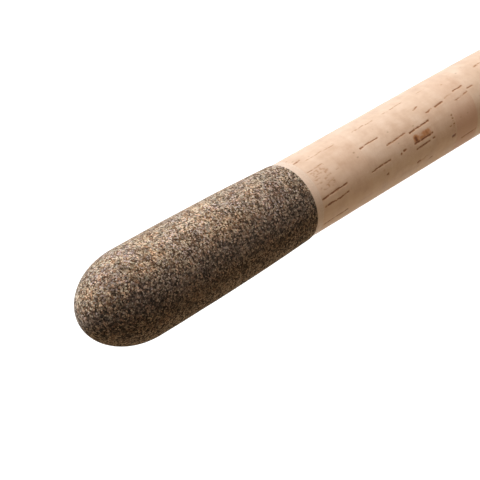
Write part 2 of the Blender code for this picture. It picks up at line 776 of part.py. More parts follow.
def wrap(name, y, feet, foot, radius_at, steps, group):
    """A sleeve of thread round the blank. Each of the feet is (root, tip) measured from station
    y, in order along the rod; the sleeve is thin between them and covers each, with a pocket."""

    def thin(along, extra):
        radius = radius_at(y + along) + WRAP_CLEARANCE + extra
        return circle(along, radius, steps)

    def covering(along, rise, thick):
        """The circle over the top of the blank and round both lower corners of the foot."""
        top = radius_at(y + along) + WRAP_CLEARANCE + UNDERWRAP_THICKNESS + WRAP_COVER
        side = foot[0] / 2 + FOOT_CLEARANCE + WRAP_COVER / 2
        bottom = rise + thick + FOOT_CLEARANCE + WRAP_COVER / 2
        drop = (bottom**2 + side**2 - top**2) / (2 * (top + bottom))
        return circle(along, (top + drop) / math.cos(math.pi / steps), steps, drop)

    outer = []
    pockets = []
    for number, (root, tip) in enumerate(feet, start=1):
        rise = foot_rise(radius_at, y + min(root, tip))
        direction = 1 if tip > root else -1
        stations = [
            thin(root + direction * WRAP_INNER_RAMP, UNDERWRAP_THICKNESS),
            covering(root + direction * WRAP_INNER_RAMP * 2, rise, foot[1]),
            covering(tip, rise, foot[1] * foot[2]),
            thin(tip + direction * WRAP_RAMP, WRAP_END_THICKNESS),
        ]
        outer += stations if direction > 0 else list(reversed(stations))
        pocket_name = f"{name}_pocket_{number}"
        pockets.append(foot_mesh(pocket_name, root, tip, rise, foot, FOOT_CLEARANCE, WRAP_RAMP))
    rear = outer[0][0][1]
    front = outer[-1][0][1]
    inner = [thin(front, 0.0), thin(rear, 0.0)]
    mesh = loft_mesh(name, outer + inner, closed=True)
    sleeve = new_object(name, mesh, thread_resin, group, (0.0, y, 0.0))
    for pocket in pockets:
        cut(sleeve, new_object(pocket.name, pocket, location=(0.0, y, 0.0)))


def ring_steps(diameter):
    """Facets round a guide's ring, more on the larger sizes."""
    return max(SMALLEST_RING_STEPS, 4 * round(diameter / 0.004))


def band_profile(outer, wall, width):
    """A plain band with a low crown outside, centred on its own plane."""
    edge = wall / 3
    outside = [(-width / 2, outer - edge), (0.0, outer), (width / 2, outer - edge)]
    bore = [(-width / 2, outer - wall), (width / 2, outer - wall)]
    return tube_profile(outside, bore)


def insert_profile(outer, wall, width):
    """A ring of ceramic with a rounded section."""
    count = 6
    centre = outer - wall / 2
    points = []
    for i in range(count):
        angle = 2 * math.pi * (i + 0.5) / count
        reach = 1 / math.cos(math.pi / count)
        radius = centre + wall / 2 * max(-1.0, min(1.0, reach * math.cos(angle)))
        points.append((-width / 2 * math.sin(angle), radius))
    return points


def insert_wall(ring):
    return INSERT_WALL_BASE + INSERT_WALL_RATIO * ring


def double_foot_guide(number, y, ring, radius_at, group):
    """A guide on two feet: twin legs run from the sides of the ring to the rear foot, and one
    brace from its near side to the front foot. Frame, ceramic insert and wrap are separate."""
    steps = ring_steps(ring)
    height = radius_at(y) + ring * GUIDE_HEIGHT_RATIO
    centre = (0.0, y, -height)
    half_span = (GUIDE_SPAN_BASE + GUIDE_SPAN_RATIO * ring) / 2
    root = half_span * 2 * GUIDE_FOOT_INNER_SHARE
    tip = half_span
    wire = GUIDE_WIRE_BASE + GUIDE_WIRE_RATIO * ring
    radius = ring / 2
    hold = radius + wire / 2 - GUIDE_BAND_WALL / 2

    band = turned_mesh(
        f"guide_{number}_frame", band_profile(radius, GUIDE_BAND_WALL, GUIDE_BAND_WIDTH), steps
    )
    frame = new_object(f"guide_{number}_frame", band, stainless, group, centre)
    foot = (
        GUIDE_FOOT_WIDTH_BASE + GUIDE_FOOT_WIDTH_RATIO * ring,
        GUIDE_FOOT_THICKNESS_BASE + GUIDE_FOOT_THICKNESS_RATIO * ring,
        FOOT_TIP_SHARE,
    )
    extras = []
    feet = []
    for label, direction in (("rear", -1), ("front", 1)):
        near = direction * root
        far = direction * tip
        feet.append((near, far))
        rise = foot_rise(radius_at, y + min(near, far))
        extras.append(foot_mesh(f"guide_{number}_{label}_foot", near, far, rise, foot))
        landing_z = -rise - wire / 2
        landing_y = near + direction * wire
        if direction < 0:
            starts = [(side * hold, 0.0, -height) for side in (-1, 1)]
        else:
            starts = [(0.0, 0.0, -height + hold)]
        for leg, start in enumerate(starts, start=1):
            side = start[0] / hold
            landing = (side * (foot[0] - wire) / 2, landing_y, landing_z)
            control = (
                start[0] * GUIDE_LEG_SPREAD_SHARE,
                near * GUIDE_LEG_REACH_SHARE,
                landing_z - wire,
            )
            path = arc_points(start, control, landing, GUIDE_LEG_POINTS)
            extras.append(wire_mesh(f"guide_{number}_{label}_leg_{leg}", path, wire))
    for mesh in extras:
        join(frame, new_object(mesh.name, mesh, location=(0.0, y, 0.0)))

    wall = insert_wall(ring)
    seat = radius - GUIDE_BAND_WALL - INSERT_CLEARANCE
    insert = turned_mesh(f"guide_{number}_ring", insert_profile(seat, wall, INSERT_WIDTH), steps)
    new_object(f"guide_{number}_ring", insert, ring_ceramic, group, centre)
    wrap(f"guide_{number}_wrap", y, feet, foot, radius_at, BLANK_STEPS, group)


def quiver_guide(number, y, ring, group):
    """A single-foot guide: ring and frame in one, with two legs down to a foot facing the tip."""
    name = f"quiver_guide_{number}"
    radius = ring / 2
    height = foot_rise(quiver_radius, y) + radius + QUIVER_RING_LIFT
    profile = band_profile(radius, QUIVER_RING_WALL, QUIVER_RING_WIDTH)
    ring_mesh = turned_mesh(name, profile, SMALLEST_RING_STEPS)
    frame = new_object(name, ring_mesh, stainless, group, (0.0, y, -height))
    near = QUIVER_FOOT_START
    far = near + QUIVER_FOOT_LENGTH
    rise = foot_rise(quiver_radius, y + near)
    foot = foot_mesh(name + "_foot", near, far, rise, quiver_foot)
    join(frame, new_object(foot.name, foot, location=(0.0, y, 0.0)))
    landing_z = -rise - QUIVER_WIRE_DIAMETER / 2
    for leg, side in enumerate((-1, 1), start=1):
        start = (side * radius * 0.92, 0.0, -height + radius * 0.30)
        landing = (side * QUIVER_WIRE_DIAMETER / 3, near + QUIVER_WIRE_DIAMETER, landing_z)
        control = (start[0] * 0.8, near * 0.5, landing_z - QUIVER_WIRE_DIAMETER)
        path = arc_points(start, control, landing, QUIVER_LEG_POINTS)
        mesh = wire_mesh(f"{name}_leg_{leg}", path, QUIVER_WIRE_DIAMETER)
        join(frame, new_object(mesh.name, mesh, location=(0.0, y, 0.0)))
    wrap_name = f"quiver_wrap_{number}"
    wrap(wrap_name, y, [(near, far)], quiver_foot, quiver_radius, QUIVER_STEPS, group)


def build_tip_ring(group):
    """The last ring, on a tube over the end of the quiver tip, with two braces."""
    bore = quiver_radius(quiver_end - TIP_TUBE_LENGTH) + BORE_CLEARANCE
    tube = bore + TIP_TUBE_WALL
    rear = quiver_end - TIP_TUBE_LENGTH + TIP_TUBE_OVERHANG
    outer = [(0.0, tube), (TIP_TUBE_LENGTH, tube)]
    inner = [(0.0, bore), (TIP_TUBE_LENGTH, bore)]
    frame = turned("tip_ring_frame", tube_profile(outer, inner), QUIVER_STEPS, stainless, group, rear)
    front = rear + TIP_TUBE_LENGTH
    radius = TIP_RING / 2
    centre = (0.0, front, -tube - radius + TIP_TUBE_WALL)
    profile = band_profile(radius, TIP_RING_WALL, TIP_RING_WIDTH)
    band = turned_mesh("tip_ring_band", profile, SMALLEST_RING_STEPS)
    join(frame, new_object("tip_ring_band", band, location=centre))
    for leg, side in enumerate((-1, 1), start=1):
        start = (side * radius * 0.95, front, centre[2] + radius * 0.1)
        landing = (side * tube * 0.5, rear + TIP_TUBE_LENGTH * 0.25, -tube * 0.8)
        control = (side * radius * 0.8, rear + TIP_TUBE_LENGTH * 0.6, -tube * 1.6)
        path = arc_points(start, control, landing, QUIVER_LEG_POINTS)
        mesh = wire_mesh(f"tip_ring_leg_{leg}", path, QUIVER_WIRE_DIAMETER)
        join(frame, new_object(mesh.name, mesh))
    seat = radius - TIP_RING_WALL - INSERT_CLEARANCE
    profile = insert_profile(seat, TIP_INSERT_WALL, TIP_RING_WIDTH)
    insert = turned_mesh("tip_ring", profile, SMALLEST_RING_STEPS)
    new_object("tip_ring", insert, ring_ceramic, group, centre)


def spaced(first, last, count, ratio):
    """Stations from first to last whose gaps shrink by a ratio towards the tip."""
    gaps = [ratio**i for i in range(count - 1)]
    scale = (last - first) / sum(gaps)
    stations = [first]
    for gap in gaps:
        stations.append(stations[-1] + gap * scale)
    return stations


def build_guides(butt_group, tip_group, quiver_group):
    first = tip_blank_base - GUIDE_1_BEHIND_FERRULE
    double_foot_guide(1, first, GUIDE_1_RING, butt_radius, butt_group)
    tip_stations = spaced(
        tip_blank_base + TIP_SECTION_FIRST_GUIDE,
        tip_blank_top - TIP_SECTION_LAST_GUIDE_FROM_END,
        len(TIP_SECTION_RINGS),
        TIP_SECTION_SPACING_RATIO,
    )
    for number, (y, ring) in enumerate(zip(tip_stations, TIP_SECTION_RINGS), start=2):
        double_foot_guide(number, y, ring, tip_radius, tip_group)
    quiver_stations = spaced(
        tip_blank_top + QUIVER_FIRST_GUIDE,
        quiver_end - QUIVER_LAST_GUIDE_FROM_END,
        len(QUIVER_RINGS),
        QUIVER_SPACING_RATIO,
    )
    for number, (y, ring) in enumerate(zip(quiver_stations, QUIVER_RINGS), start=1):
        quiver_guide(number, y, ring, quiver_group)


def build_hook_keeper(group):
    """A wire loop below the blank that the hook's point catches in, its feet under thread."""
    y = fore_collar_front + KEEPER_FROM_COLLAR
    half_loop = KEEPER_LOOP_LENGTH / 2
    rise = foot_rise(butt_radius, y - half_loop - KEEPER_FOOT_LENGTH)
    level = -rise - KEEPER_WIRE_DIAMETER / 2
    arc_count = 9
    points = [(0.0, -half_loop - KEEPER_FOOT_LENGTH, level)]
    for i in range(arc_count):
        angle = math.pi * i / (arc_count - 1)
        drop = KEEPER_LOOP_HEIGHT * math.sin(angle)
        points.append((0.0, -half_loop * math.cos(angle), level - drop))
    points.append((0.0, half_loop + KEEPER_FOOT_LENGTH, level))
    mesh = wire_mesh("hook_keeper", points, KEEPER_WIRE_DIAMETER)
    new_object("hook_keeper", mesh, stainless, group, (0.0, y, 0.0))
    feet = [
        (-half_loop, -half_loop - KEEPER_FOOT_LENGTH),
        (half_loop, half_loop + KEEPER_FOOT_LENGTH),
    ]
    wrap("keeper_wrap", y, feet, keeper_foot, butt_radius, BLANK_STEPS, group)


def build_rod():
    butt_group = new_empty("butt_section", 0.0)
    hood_group = new_empty("hood_slide_axis", sliding_hood_mouth)
    nut_group = new_empty("nut_spin_axis", nut_rear)
    tip_group = new_empty("tip_section", tip_blank_base)
    quiver_group = new_empty("quiver_section", quiver_base)

    build_butt_cap(butt_group)
    build_cork_rings(butt_group)
    build_grips(butt_group)
    build_collars(butt_group)
    build_seat(butt_group)
    build_arbors(butt_group)
    hood("fixed_hood", fixed_hood_mouth, math.pi, butt_group)
    hood("sliding_hood", sliding_hood_mouth, 0.0, hood_group)
    build_nut(nut_group)
    build_butt_blank(butt_group)
    build_hook_keeper(butt_group)
    build_tip_blank(tip_group)
    socket_wrap("socket_wrap", tip_blank_base, SOCKET_WRAP_LENGTH, tip_radius, tip_group)
    socket_wrap(
        "quiver_socket_wrap",
        tip_blank_top - QUIVER_SOCKET_WRAP_LENGTH,
        QUIVER_SOCKET_WRAP_LENGTH,
        tip_radius,
        tip_group,
    )
    build_quiver_blank(quiver_group)
    build_guides(butt_group, tip_group, quiver_group)
    build_tip_ring(quiver_group)


build_rod()
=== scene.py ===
"""Looks of the feeder rod: cork handle with a composite butt cap, screw-down reel seat, carbon
sections with lined guides, and a painted quiver tip.

The rod lies along +Y with its butt towards -Y and its guides below it (-Z). Units are metres.
"""

import functools
import itertools
import json
import math

import bpy
import numpy as np
from mathutils import Matrix, Vector


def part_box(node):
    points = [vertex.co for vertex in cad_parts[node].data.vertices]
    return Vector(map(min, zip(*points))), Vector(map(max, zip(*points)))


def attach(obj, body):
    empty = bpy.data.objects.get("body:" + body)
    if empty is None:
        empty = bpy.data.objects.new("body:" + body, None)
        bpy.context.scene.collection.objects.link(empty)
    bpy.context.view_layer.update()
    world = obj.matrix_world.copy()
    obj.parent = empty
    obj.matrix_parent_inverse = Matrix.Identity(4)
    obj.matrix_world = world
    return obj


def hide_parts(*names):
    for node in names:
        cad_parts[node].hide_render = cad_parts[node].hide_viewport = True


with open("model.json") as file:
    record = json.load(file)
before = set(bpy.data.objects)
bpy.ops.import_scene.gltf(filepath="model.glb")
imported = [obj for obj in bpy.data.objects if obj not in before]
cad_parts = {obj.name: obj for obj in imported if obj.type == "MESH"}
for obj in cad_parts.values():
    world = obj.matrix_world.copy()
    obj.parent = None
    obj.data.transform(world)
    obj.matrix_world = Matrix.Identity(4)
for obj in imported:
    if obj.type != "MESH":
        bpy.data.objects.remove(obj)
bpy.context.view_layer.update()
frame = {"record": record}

MM = 0.001
TURN = 2 * math.pi
WHITE = (1.0, 1.0, 1.0)

# Camera, found from the photograph's perspective: millimetres from the camera to the joint
# between butt cap and cork, and the rod's direction, both as (right, down, ahead)
CAMERA_LENS = 127.5
CAMERA_SENSOR = 36.0
JOINT_FROM_CAMERA = (14.789, -11.408, 540.144)
ROD_DIRECTION = (0.68191, -0.40246, 0.61076)

# Studio
FLOOR_Z = -0.62
FLOOR_SIZE = 14.0
FLOOR_MIDDLE = 1.1
FLOOR_COLOUR = (0.62, 0.62, 0.62)
FLOOR_BOUNCE = (0.42, 0.325, 0.215)
FLOOR_GLOW = 0.50
AMBIENT = (0.085, 0.067, 0.046)

# Lamps: strength, colour, softness, angle round the rod from the camera's side and tilt towards
# the tip, all angles in degrees
LAMPS = {
    "key": (3.82, WHITE, 42.0, -64.5, -8.0),
    "fill": (0.24, (1.0, 0.46, 0.14), 60.0, -38.0, 0.0),
    "rim": (1.0, (0.50, 0.88, 1.26), 50.0, -112.0, 0.0),
}

# Angles round the rod run from straight up towards +X; this one faces the camera
FACING = 46.3

# Butt cap. Painted light: the side that faces the lamps is painted paler. That side is given in degrees
# from the camera's side, and the painted light is weaker over the given length from the rounded end
CAP_END_LENGTH = 0.0205
CAP_JOINT_RADIUS = 0.01335
CAP_TAPER_POWER = 2.3
CAP_EDGE_RADIUS = 0.0003
CAP_GRAIN_RELIEF = 0.00003
CAP_WAVES = 0.00004
CAP_STEPS = 270
PAINTED_LIGHT_SIDE = -75.0
PAINTED_LIGHT_FADE = 0.030
GRANULE = 0.00050
LARGE_GRANULE = 0.0012

# Cork handle
CORK_RADIUS = 0.0130
GRIP_WAIST_RADIUS = 0.0123
GRIP_FRONT_RADIUS = 0.0126
GRIP_WAIST_SHARE = 0.55
REAR_GRIP_RINGS = 14
FORE_GRIP_REAR_RADIUS = 0.0120
FORE_GRIP_FRONT_RADIUS = 0.0091
FORE_GRIP_RINGS = 7
GLUE_GAP = 0.00005
GLUE_LINE = 0.00012
TRIM_EDGE = 0.00002
PORE_DEPTH = 0.00013
CORK_GRAIN = 0.000012
CORK_WAVES = 0.00003
CORK_STEP = 0.00028
CORK_STEPS = 300
GRIP_STEP = 0.00052
GRIP_STEPS = 220
PORES_HIDDEN = 7

# Collars, reel seat, hoods and nut
COLLAR_EDGE = 0.0005
COLLAR_GROOVE = (0.0005, 0.0004)
COLLAR_FRONT_WALL = 0.0009
SEAT_BORE_RADIUS = 0.0082
SEAT_EDGE = 0.0006
SEAT_STEP = 0.0015
SEAT_STEPS = 240
BED_DEPTH = 0.0094
BED_RELIEF = 0.0003
BED_RUN = 0.00012
BED_FROM_HOOD = 0.0020
THREAD_FROM_HOOD = 0.0018
THREAD_RADIUS = 0.0103
THREAD_PITCH = 0.0015
THREAD_DEPTH = 0.00065
THREAD_SHOULDER = 0.0001
HOOD_LENGTH = 0.024
HOOD_BORE = 0.0111
HOOD_FLAT = 0.0097
HOOD_WALL = 0.0015
HOOD_LEAST_WALL = 0.0007
HOOD_LIP = 0.0004
HOOD_SWELL = 0.0044
HOOD_SLOPE = 0.30
POCKET_SHARE = 0.575
POCKET_HALF_WIDTH = 0.0086
POCKET_ROOF = 0.0082
POCKET_DEPTHS = (0.0074, 0.0040)
NUT_BORE = 0.0106
NUT_FLUTES = 16
NUT_FLUTE_DEPTH = 0.0007
NUT_CHAMFER = 0.0009
NUT_GROOVE = (0.0020, 0.0005, 0.0003, 0.0004)
NUT_FLUTE_START = 0.0003

# Blanks
BUTT_TOP_RADIUS = 0.0052
BUTT_WALL = 0.0011
BUTT_EDGE = 0.0003
TIP_TOP_RADIUS = 0.0024
TIP_WALL = 0.0009
SOCKET_CLEARANCE = 0.00025
END_CLEARANCE = 0.0003
QUIVER_BASE_RADIUS = 0.00145
QUIVER_TIP_RADIUS = 0.0006
QUIVER_ENDS = ((0.0008, 0.0006), (0.0003, 0.0003))
BORE_CLEARANCE = 0.0002

# Thread wraps
WRAP_CLEARANCE = 0.0001
FOOT_CLEARANCE = 0.0001
UNDERWRAP = 0.00025
WRAP_COVER = 0.00035
WRAP_END = 0.00015
WRAP_RAMP = 0.0030
WRAP_INNER_RAMP = 0.0012
WRAP_CORNER = 0.0003
SOCKET_WRAP = 0.0004
WRAP_STEP = 0.0002
TRIM_BAND = (0.0036, 0.0046)

# Guides; a pair is a base size and how much of the ring's diameter is added to it
GUIDE_SPAN = (0.0100, 2.1)
GUIDE_WIRE = (0.0005, 0.032)
FOOT_WIDTH = (0.0014, 0.050)
FOOT_THICKNESS = (0.0005, 0.018)
INSERT_WALL = (0.0009, 0.045)
GUIDE_ROOT_SHARE = 0.26
LEG_SPREAD_SHARE = 0.55
LEG_REACH_SHARE = 0.62
FOOT_TIP_SHARE = 0.4
BAND_WALL = 0.0008
BAND_WIDTH = 0.0020
INSERT_WIDTH = 0.0024
INSERT_CLEARANCE = 0.0001
QUIVER_RING_WALL = 0.0009
QUIVER_RING_WIDTH = 0.0011
QUIVER_WIRE = 0.0006
QUIVER_WIRE_END = 0.00013
QUIVER_FOOT = (0.0022, 0.0102)
QUIVER_FOOT_WIDTH = 0.0012
QUIVER_FOOT_THICKNESS = 0.00045
TIP_TUBE_CLEARANCE = 0.00035
TIP_TUBE_WALL = 0.00035
TIP_TUBE_EDGE = 0.0001
TIP_RING_WALL = 0.0006
TIP_RING_WIDTH = 0.0014
TIP_INSERT_WALL = 0.0008
KEEPER_WIRE = 0.0011
KEEPER_LOOP = (0.0120, 0.0062)
KEEPER_BEND = 0.0004

box = functools.cache(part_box)


def span(node):
    """The stations of a node's rear and front ends."""
    low, high = box(node)
    return low.y, high.y


def widest(node):
    """The largest radius of a node that is round about the rod's axis."""
    return box(node)[1].x


def centre(node):
    low, high = box(node)
    return (low + high) / 2


def taper(rear, rear_radius, front, front_radius):
    """The radius at any station of a straight taper."""

    def radius_at(y):
        return rear_radius + (front_radius - rear_radius) * (y - rear) / (front - rear)

    return radius_at


cap_rear, cap_front = span("butt_cap")
butt_rear, butt_front = span("butt_blank")
tip_rear, tip_front = span("tip_blank")
quiver_rear, quiver_front = span("quiver_blank")
butt_radius = taper(butt_rear, widest("butt_blank"), butt_front, BUTT_TOP_RADIUS)
tip_radius = taper(tip_rear, widest("tip_blank"), tip_front, TIP_TOP_RADIUS)
quiver_radius = taper(tip_front, QUIVER_BASE_RADIUS, quiver_front, QUIVER_TIP_RADIUS)


# Node building


class Nodes:
    """A node tree. Each method adds a node and returns the socket that carries its result."""

    def __init__(self, tree):
        self.tree = tree

    def add(self, kind, inputs=(), **settings):
        node = self.tree.nodes.new(kind)
        for name, value in settings.items():
            setattr(node, name, value)
        for key, value in dict(inputs).items():
            self.feed(node.inputs[key], value)
        return node

    def feed(self, socket, value):
        if isinstance(value, bpy.types.NodeSocket):
            self.tree.links.new(value, socket)
        else:
            socket.default_value = value

    @functools.cached_property
    def point(self):
        """The point in the rod's own frame."""
        return self.add("ShaderNodeTexCoord").outputs["Object"]

    def stretched(self, scale):
        inputs = {"Vector": self.point, "Scale": scale}
        return self.add("ShaderNodeMapping", inputs).outputs["Vector"]

    def attribute(self, name):
        return self.add("ShaderNodeAttribute", attribute_name=name).outputs["Fac"]

    def noise(self, size, detail=2.0, roughness=0.5, stretch=None):
        point = self.stretched(stretch) if stretch else self.point
        inputs = {"Vector": point, "Scale": 1 / size, "Detail": detail, "Roughness": roughness}
        return self.add("ShaderNodeTexNoise", inputs).outputs["Fac"]

    def cells(self, point, size, feature="F1"):
        inputs = {"Vector": point, "Scale": 1 / size}
        return self.add("ShaderNodeTexVoronoi", inputs, feature=feature).outputs

    def picks(self, cells):
        """Three random values for each cell, from 0 to 1: Red, Green and Blue."""
        return self.add("ShaderNodeSeparateColor", {"Color": cells["Color"]}).outputs

    def math(self, operation, first, second=0.0, clamp=False):
        inputs = {0: first, 1: second}
        return self.add("ShaderNodeMath", inputs, operation=operation, use_clamp=clamp).outputs["Value"]

    def times(self, first, second):
        return self.math("MULTIPLY", first, second)

    def between(self, value, low, high, to_low=0.0, to_high=1.0):
        inputs = {"Value": value, "From Min": low, "From Max": high, "To Min": to_low, "To Max": to_high}
        return self.add("ShaderNodeMapRange", inputs).outputs["Result"]

    def ramp(self, value, *stops, steps=False):
        node = self.add("ShaderNodeValToRGB", {"Fac": value})
        ramp = node.color_ramp
        ramp.interpolation = "CONSTANT" if steps else "LINEAR"
        while len(ramp.elements) < len(stops):
            ramp.elements.new(1.0)
        for element, (position, *colour) in zip(ramp.elements, stops):
            element.position = position
            element.color = (*colour, 1.0)
        return node.outputs["Color"]

    def two_tone(self, value, first, second, low=0.3, high=0.7):
        return self.ramp(value, (low, *first), (high, *second))

    def mix(self, share, first, second, blend="MIX"):
        node = self.add("ShaderNodeMix", data_type="RGBA", blend_type=blend)
        for key, value in (("Factor", share), ("A", first), ("B", second)):
            socket = [s for s in node.inputs if s.name == key and s.enabled][0]
            self.feed(socket, (*value, 1.0) if isinstance(value, tuple) else value)
        return [s for s in node.outputs if s.enabled][0]

    def tinted(self, colour, tint):
        return self.mix(1.0, colour, tint, "MULTIPLY")

    def spiral(self, pitch):
        """How far each point is through its turn of a spiral along the rod, from 0 to 1."""
        x, y, z = self.add("ShaderNodeSeparateXYZ", {"Vector": self.point}).outputs
        around = self.math("DIVIDE", self.math("ARCTAN2", x, z), TURN)
        return self.math("FRACT", self.math("SUBTRACT", self.math("DIVIDE", y, pitch), around))

    def seen_directly(self):
        """1 for rays from the camera and for what gloss and glass show, and 0 for other rays."""
        path = self.add("ShaderNodeLightPath").outputs
        seen = self.math("MAXIMUM", path["Is Camera Ray"], path["Is Glossy Ray"])
        return self.math("MAXIMUM", seen, path["Is Transmission Ray"])


class Shader(Nodes):
    """A material of the principled shader, whose inputs are named with _ for each space."""

    def __init__(self, name, **constants):
        self.material = bpy.data.materials.new(name)
        self.material.use_nodes = True
        super().__init__(self.material.node_tree)
        self.set(**constants)

    def set(self, **inputs):
        surface = self.tree.nodes["Principled BSDF"]
        for name, value in inputs.items():
            self.feed(surface.inputs[name.replace("_", " ")], value)

    def finish(self, colour, roughness, relief=None, depth=0.0, **inputs):
        """The whole material, with its relief as bumps of the given depth."""
        self.set(Base_Color=colour, Roughness=roughness, **inputs)
        if relief is not None:
            bump = self.add("ShaderNodeBump", {"Height": relief, "Distance": depth})
            self.set(Normal=bump.outputs["Normal"])
        return self.material


# Materials, each named after its slot; a ramp's stop is its position and colour

CORK_GLOSS = {"Specular_IOR_Level": 0.15, "Sheen_Weight": 0.20, "Sheen_Roughness": 0.30}


def composite_cork():
    """Granules of cork and dark rubber in resin, turned and polished, with painted light: paler and
    brighter on the side towards the lamps.
    """
    s = Shader(
        "composite_cork", Sheen_Roughness=0.62, Sheen_Tint=(1.0, 0.86, 0.74, 1.0), Specular_IOR_Level=0.0
    )
    sway = s.add("ShaderNodeTexNoise", {"Vector": s.point, "Scale": 1400.0}).outputs["Color"]
    inputs = {0: sway, 1: (0.00035, 0.00035, 0.00035), 2: s.point}
    bent = s.add("ShaderNodeVectorMath", inputs, operation="MULTIPLY_ADD").outputs[0]
    fine = s.picks(s.cells(bent, GRANULE))
    gap = s.cells(bent, GRANULE, "DISTANCE_TO_EDGE")["Distance"]
    coarse = s.picks(s.cells(bent, LARGE_GRANULE))
    pale = s.attribute("pale")
    # Painted light: on the side towards the lamps, the pale attribute picks paler granules
    granules = s.ramp(
        s.math("ADD", s.times(fine["Red"], 0.80), s.times(pale, 0.33)),
        (0.0, 0.022, 0.017, 0.013), (0.17, 0.060, 0.038, 0.023), (0.31, 0.142, 0.080, 0.047),
        (0.45, 0.245, 0.152, 0.093), (0.60, 0.410, 0.298, 0.205), (0.80, 0.590, 0.480, 0.365),
        steps=True,
    )
    large = s.ramp(
        coarse["Red"],
        (0.0, 0.032, 0.021, 0.014), (0.40, 0.066, 0.044, 0.030),
        (0.66, 0.190, 0.150, 0.110), (0.88, 0.260, 0.150, 0.085),
        steps=True,
    )
    is_large = s.math("GREATER_THAN", coarse["Green"], 0.72)
    colour = s.mix(s.times(is_large, 0.55), granules, large)
    crevice = s.between(gap, 0.0, 0.16, 0.75, 0.0)
    colour = s.mix(crevice, colour, (0.012, 0.010, 0.009))
    patches = s.between(s.noise(0.0045, 3.0, 0.6), 0.30, 0.70, 0.74, 1.28)
    # Painted light and shade: brighter where pale is high on the lit side, darker on the side away from the
    # lamps
    colour = s.tinted(colour, s.times(patches, s.between(pale, 0.0, 1.0, 0.58, 1.33)))
    warmth = s.ramp(
        s.noise(0.0075), (0.36, 0.96, 0.95, 1.0), (0.50, 0.99, 1.0, 0.97), (0.64, 1.05, 1.0, 0.90)
    )
    kind = s.ramp(
        fine["Blue"],
        (0.0, 1.12, 0.96, 0.86), (0.28, 0.94, 0.98, 0.95), (0.58, 0.92, 0.91, 1.10), (0.75, 0.98, 1.0, 1.0),
        steps=True,
    )
    height = s.math("ADD", s.times(fine["Red"], 0.6), s.noise(0.00030))
    polish = s.math("SUBTRACT", s.between(fine["Red"], 0.0, 0.9, 0.20, 1.0), crevice, clamp=True)
    rough = s.between(fine["Green"], 0.0, 1.0, 0.44, 0.66)
    return s.finish(s.tinted(s.tinted(colour, warmth), kind), rough, height, 0.00005, Sheen_Weight=polish)


def natural_cork():
    """Sanded cork: pale cells, streaks along the bark's growth, dark pores and odd knots."""
    s = Shader("natural_cork", **CORK_GLOSS)
    mottle = s.noise(0.006, 3.0, 0.6)
    streak = s.noise(0.0012, stretch=(1.0, 0.16, 1.0))
    speck = s.cells(s.stretched((1.0, 0.6, 1.0)), 0.0017)
    base = s.ramp(
        mottle, (0.30, 0.630, 0.448, 0.328), (0.50, 0.712, 0.534, 0.403), (0.70, 0.765, 0.598, 0.472)
    )
    base = s.mix(s.between(streak, 0.40, 0.75, 0.0, 0.22), base, (0.60, 0.41, 0.27))
    near = s.between(speck["Distance"], 0.10, 0.24, 1.0, 0.0)
    rare = s.math("GREATER_THAN", s.picks(speck)["Red"], 0.86)
    base = s.mix(s.times(s.times(near, rare), 0.45), base, (0.27, 0.15, 0.08))
    base = s.mix(s.attribute("tone"), base, (0.86, 0.68, 0.52), "MULTIPLY")
    base = s.mix(s.attribute("blush"), base, (0.60, 0.35, 0.24))
    knot = s.attribute("knot")
    base = s.mix(s.between(knot, 0.0, 0.5), base, (0.50, 0.235, 0.110))
    base = s.mix(s.between(knot, 0.6, 1.0), base, (0.19, 0.075, 0.032))
    pore = s.attribute("pore")
    base = s.mix(s.between(pore, 0.0, 0.5, 0.0, 0.8), base, (0.42, 0.20, 0.095))
    base = s.mix(s.between(pore, 0.35, 1.0), base, (0.165, 0.070, 0.032))
    height = s.math("ADD", s.noise(0.0004, 3.0), s.times(streak, 0.6))
    return s.finish(base, s.between(mottle, 0.3, 0.7, 0.50, 0.68), height, 0.00002)


def trim_cork():
    """Fine agglomerate, pale and smooth."""
    s = Shader("trim_cork", **CORK_GLOSS)
    grain = s.picks(s.cells(s.point, 0.0004))["Red"]
    colour = s.ramp(grain, (0.0, 0.66, 0.50, 0.385), (0.5, 0.69, 0.53, 0.415), (1.0, 0.73, 0.57, 0.45))
    return s.finish(colour, s.between(s.noise(0.002), 0.3, 0.7, 0.46, 0.60), grain, 0.00002)


def black_nylon():
    """Moulded nylon with a fine spark-eroded texture."""
    s = Shader("black_nylon", Specular_IOR_Level=0.2)
    wear = s.noise(0.012, 3.0)
    colour = s.two_tone(wear, (0.013, 0.013, 0.014), (0.024, 0.024, 0.026), 0.35)
    rough = s.between(wear, 0.3, 0.7, 0.36, 0.52)
    return s.finish(colour, rough, s.noise(0.00035, 3.0, 0.6), 0.00003)


def carbon_blank():
    """Carbon tape rolled on a mandrel: a faint spiral under clear lacquer."""
    s = Shader("carbon_blank", Coat_Weight=0.35, Coat_Roughness=0.05, Specular_IOR_Level=0.1)
    tape = s.spiral(0.0042)
    fibre = s.noise(0.00035, stretch=(1.0, 0.03, 1.0))
    tone = s.math("ADD", s.times(tape, 0.45), s.times(fibre, 0.55))
    colour = s.two_tone(tone, (0.008, 0.008, 0.010), (0.034, 0.034, 0.038), 0.25, 0.75)
    return s.finish(colour, s.between(fibre, 0.3, 0.7, 0.28, 0.48), tape, 0.00002)


def thread_wrap():
    """Thread laid turn by turn under clear epoxy, with painted highlights on the turns' crowns and a
    lighter band where a wrap ends.
    """
    s = Shader("thread_wrap", Coat_Weight=0.4, Coat_Roughness=0.04, Specular_IOR_Level=0.1)
    crown = s.math("SINE", s.times(s.spiral(0.00017), math.pi))
    # Painted highlight and shade: the crown of each turn is painted lighter and the groove between turns
    # darker
    painted_crown_highlight = s.times(crown, s.between(s.noise(0.0005), 0.2, 0.8, 0.6, 1.2))
    dark = s.two_tone(painted_crown_highlight, (0.006, 0.006, 0.007), (0.036, 0.034, 0.036), 0.1, 0.9)
    light = s.two_tone(painted_crown_highlight, (0.16, 0.13, 0.09), (0.52, 0.44, 0.32), 0.1, 0.9)
    return s.finish(s.mix(s.attribute("trim"), dark, light), 0.38, crown, 0.00004)


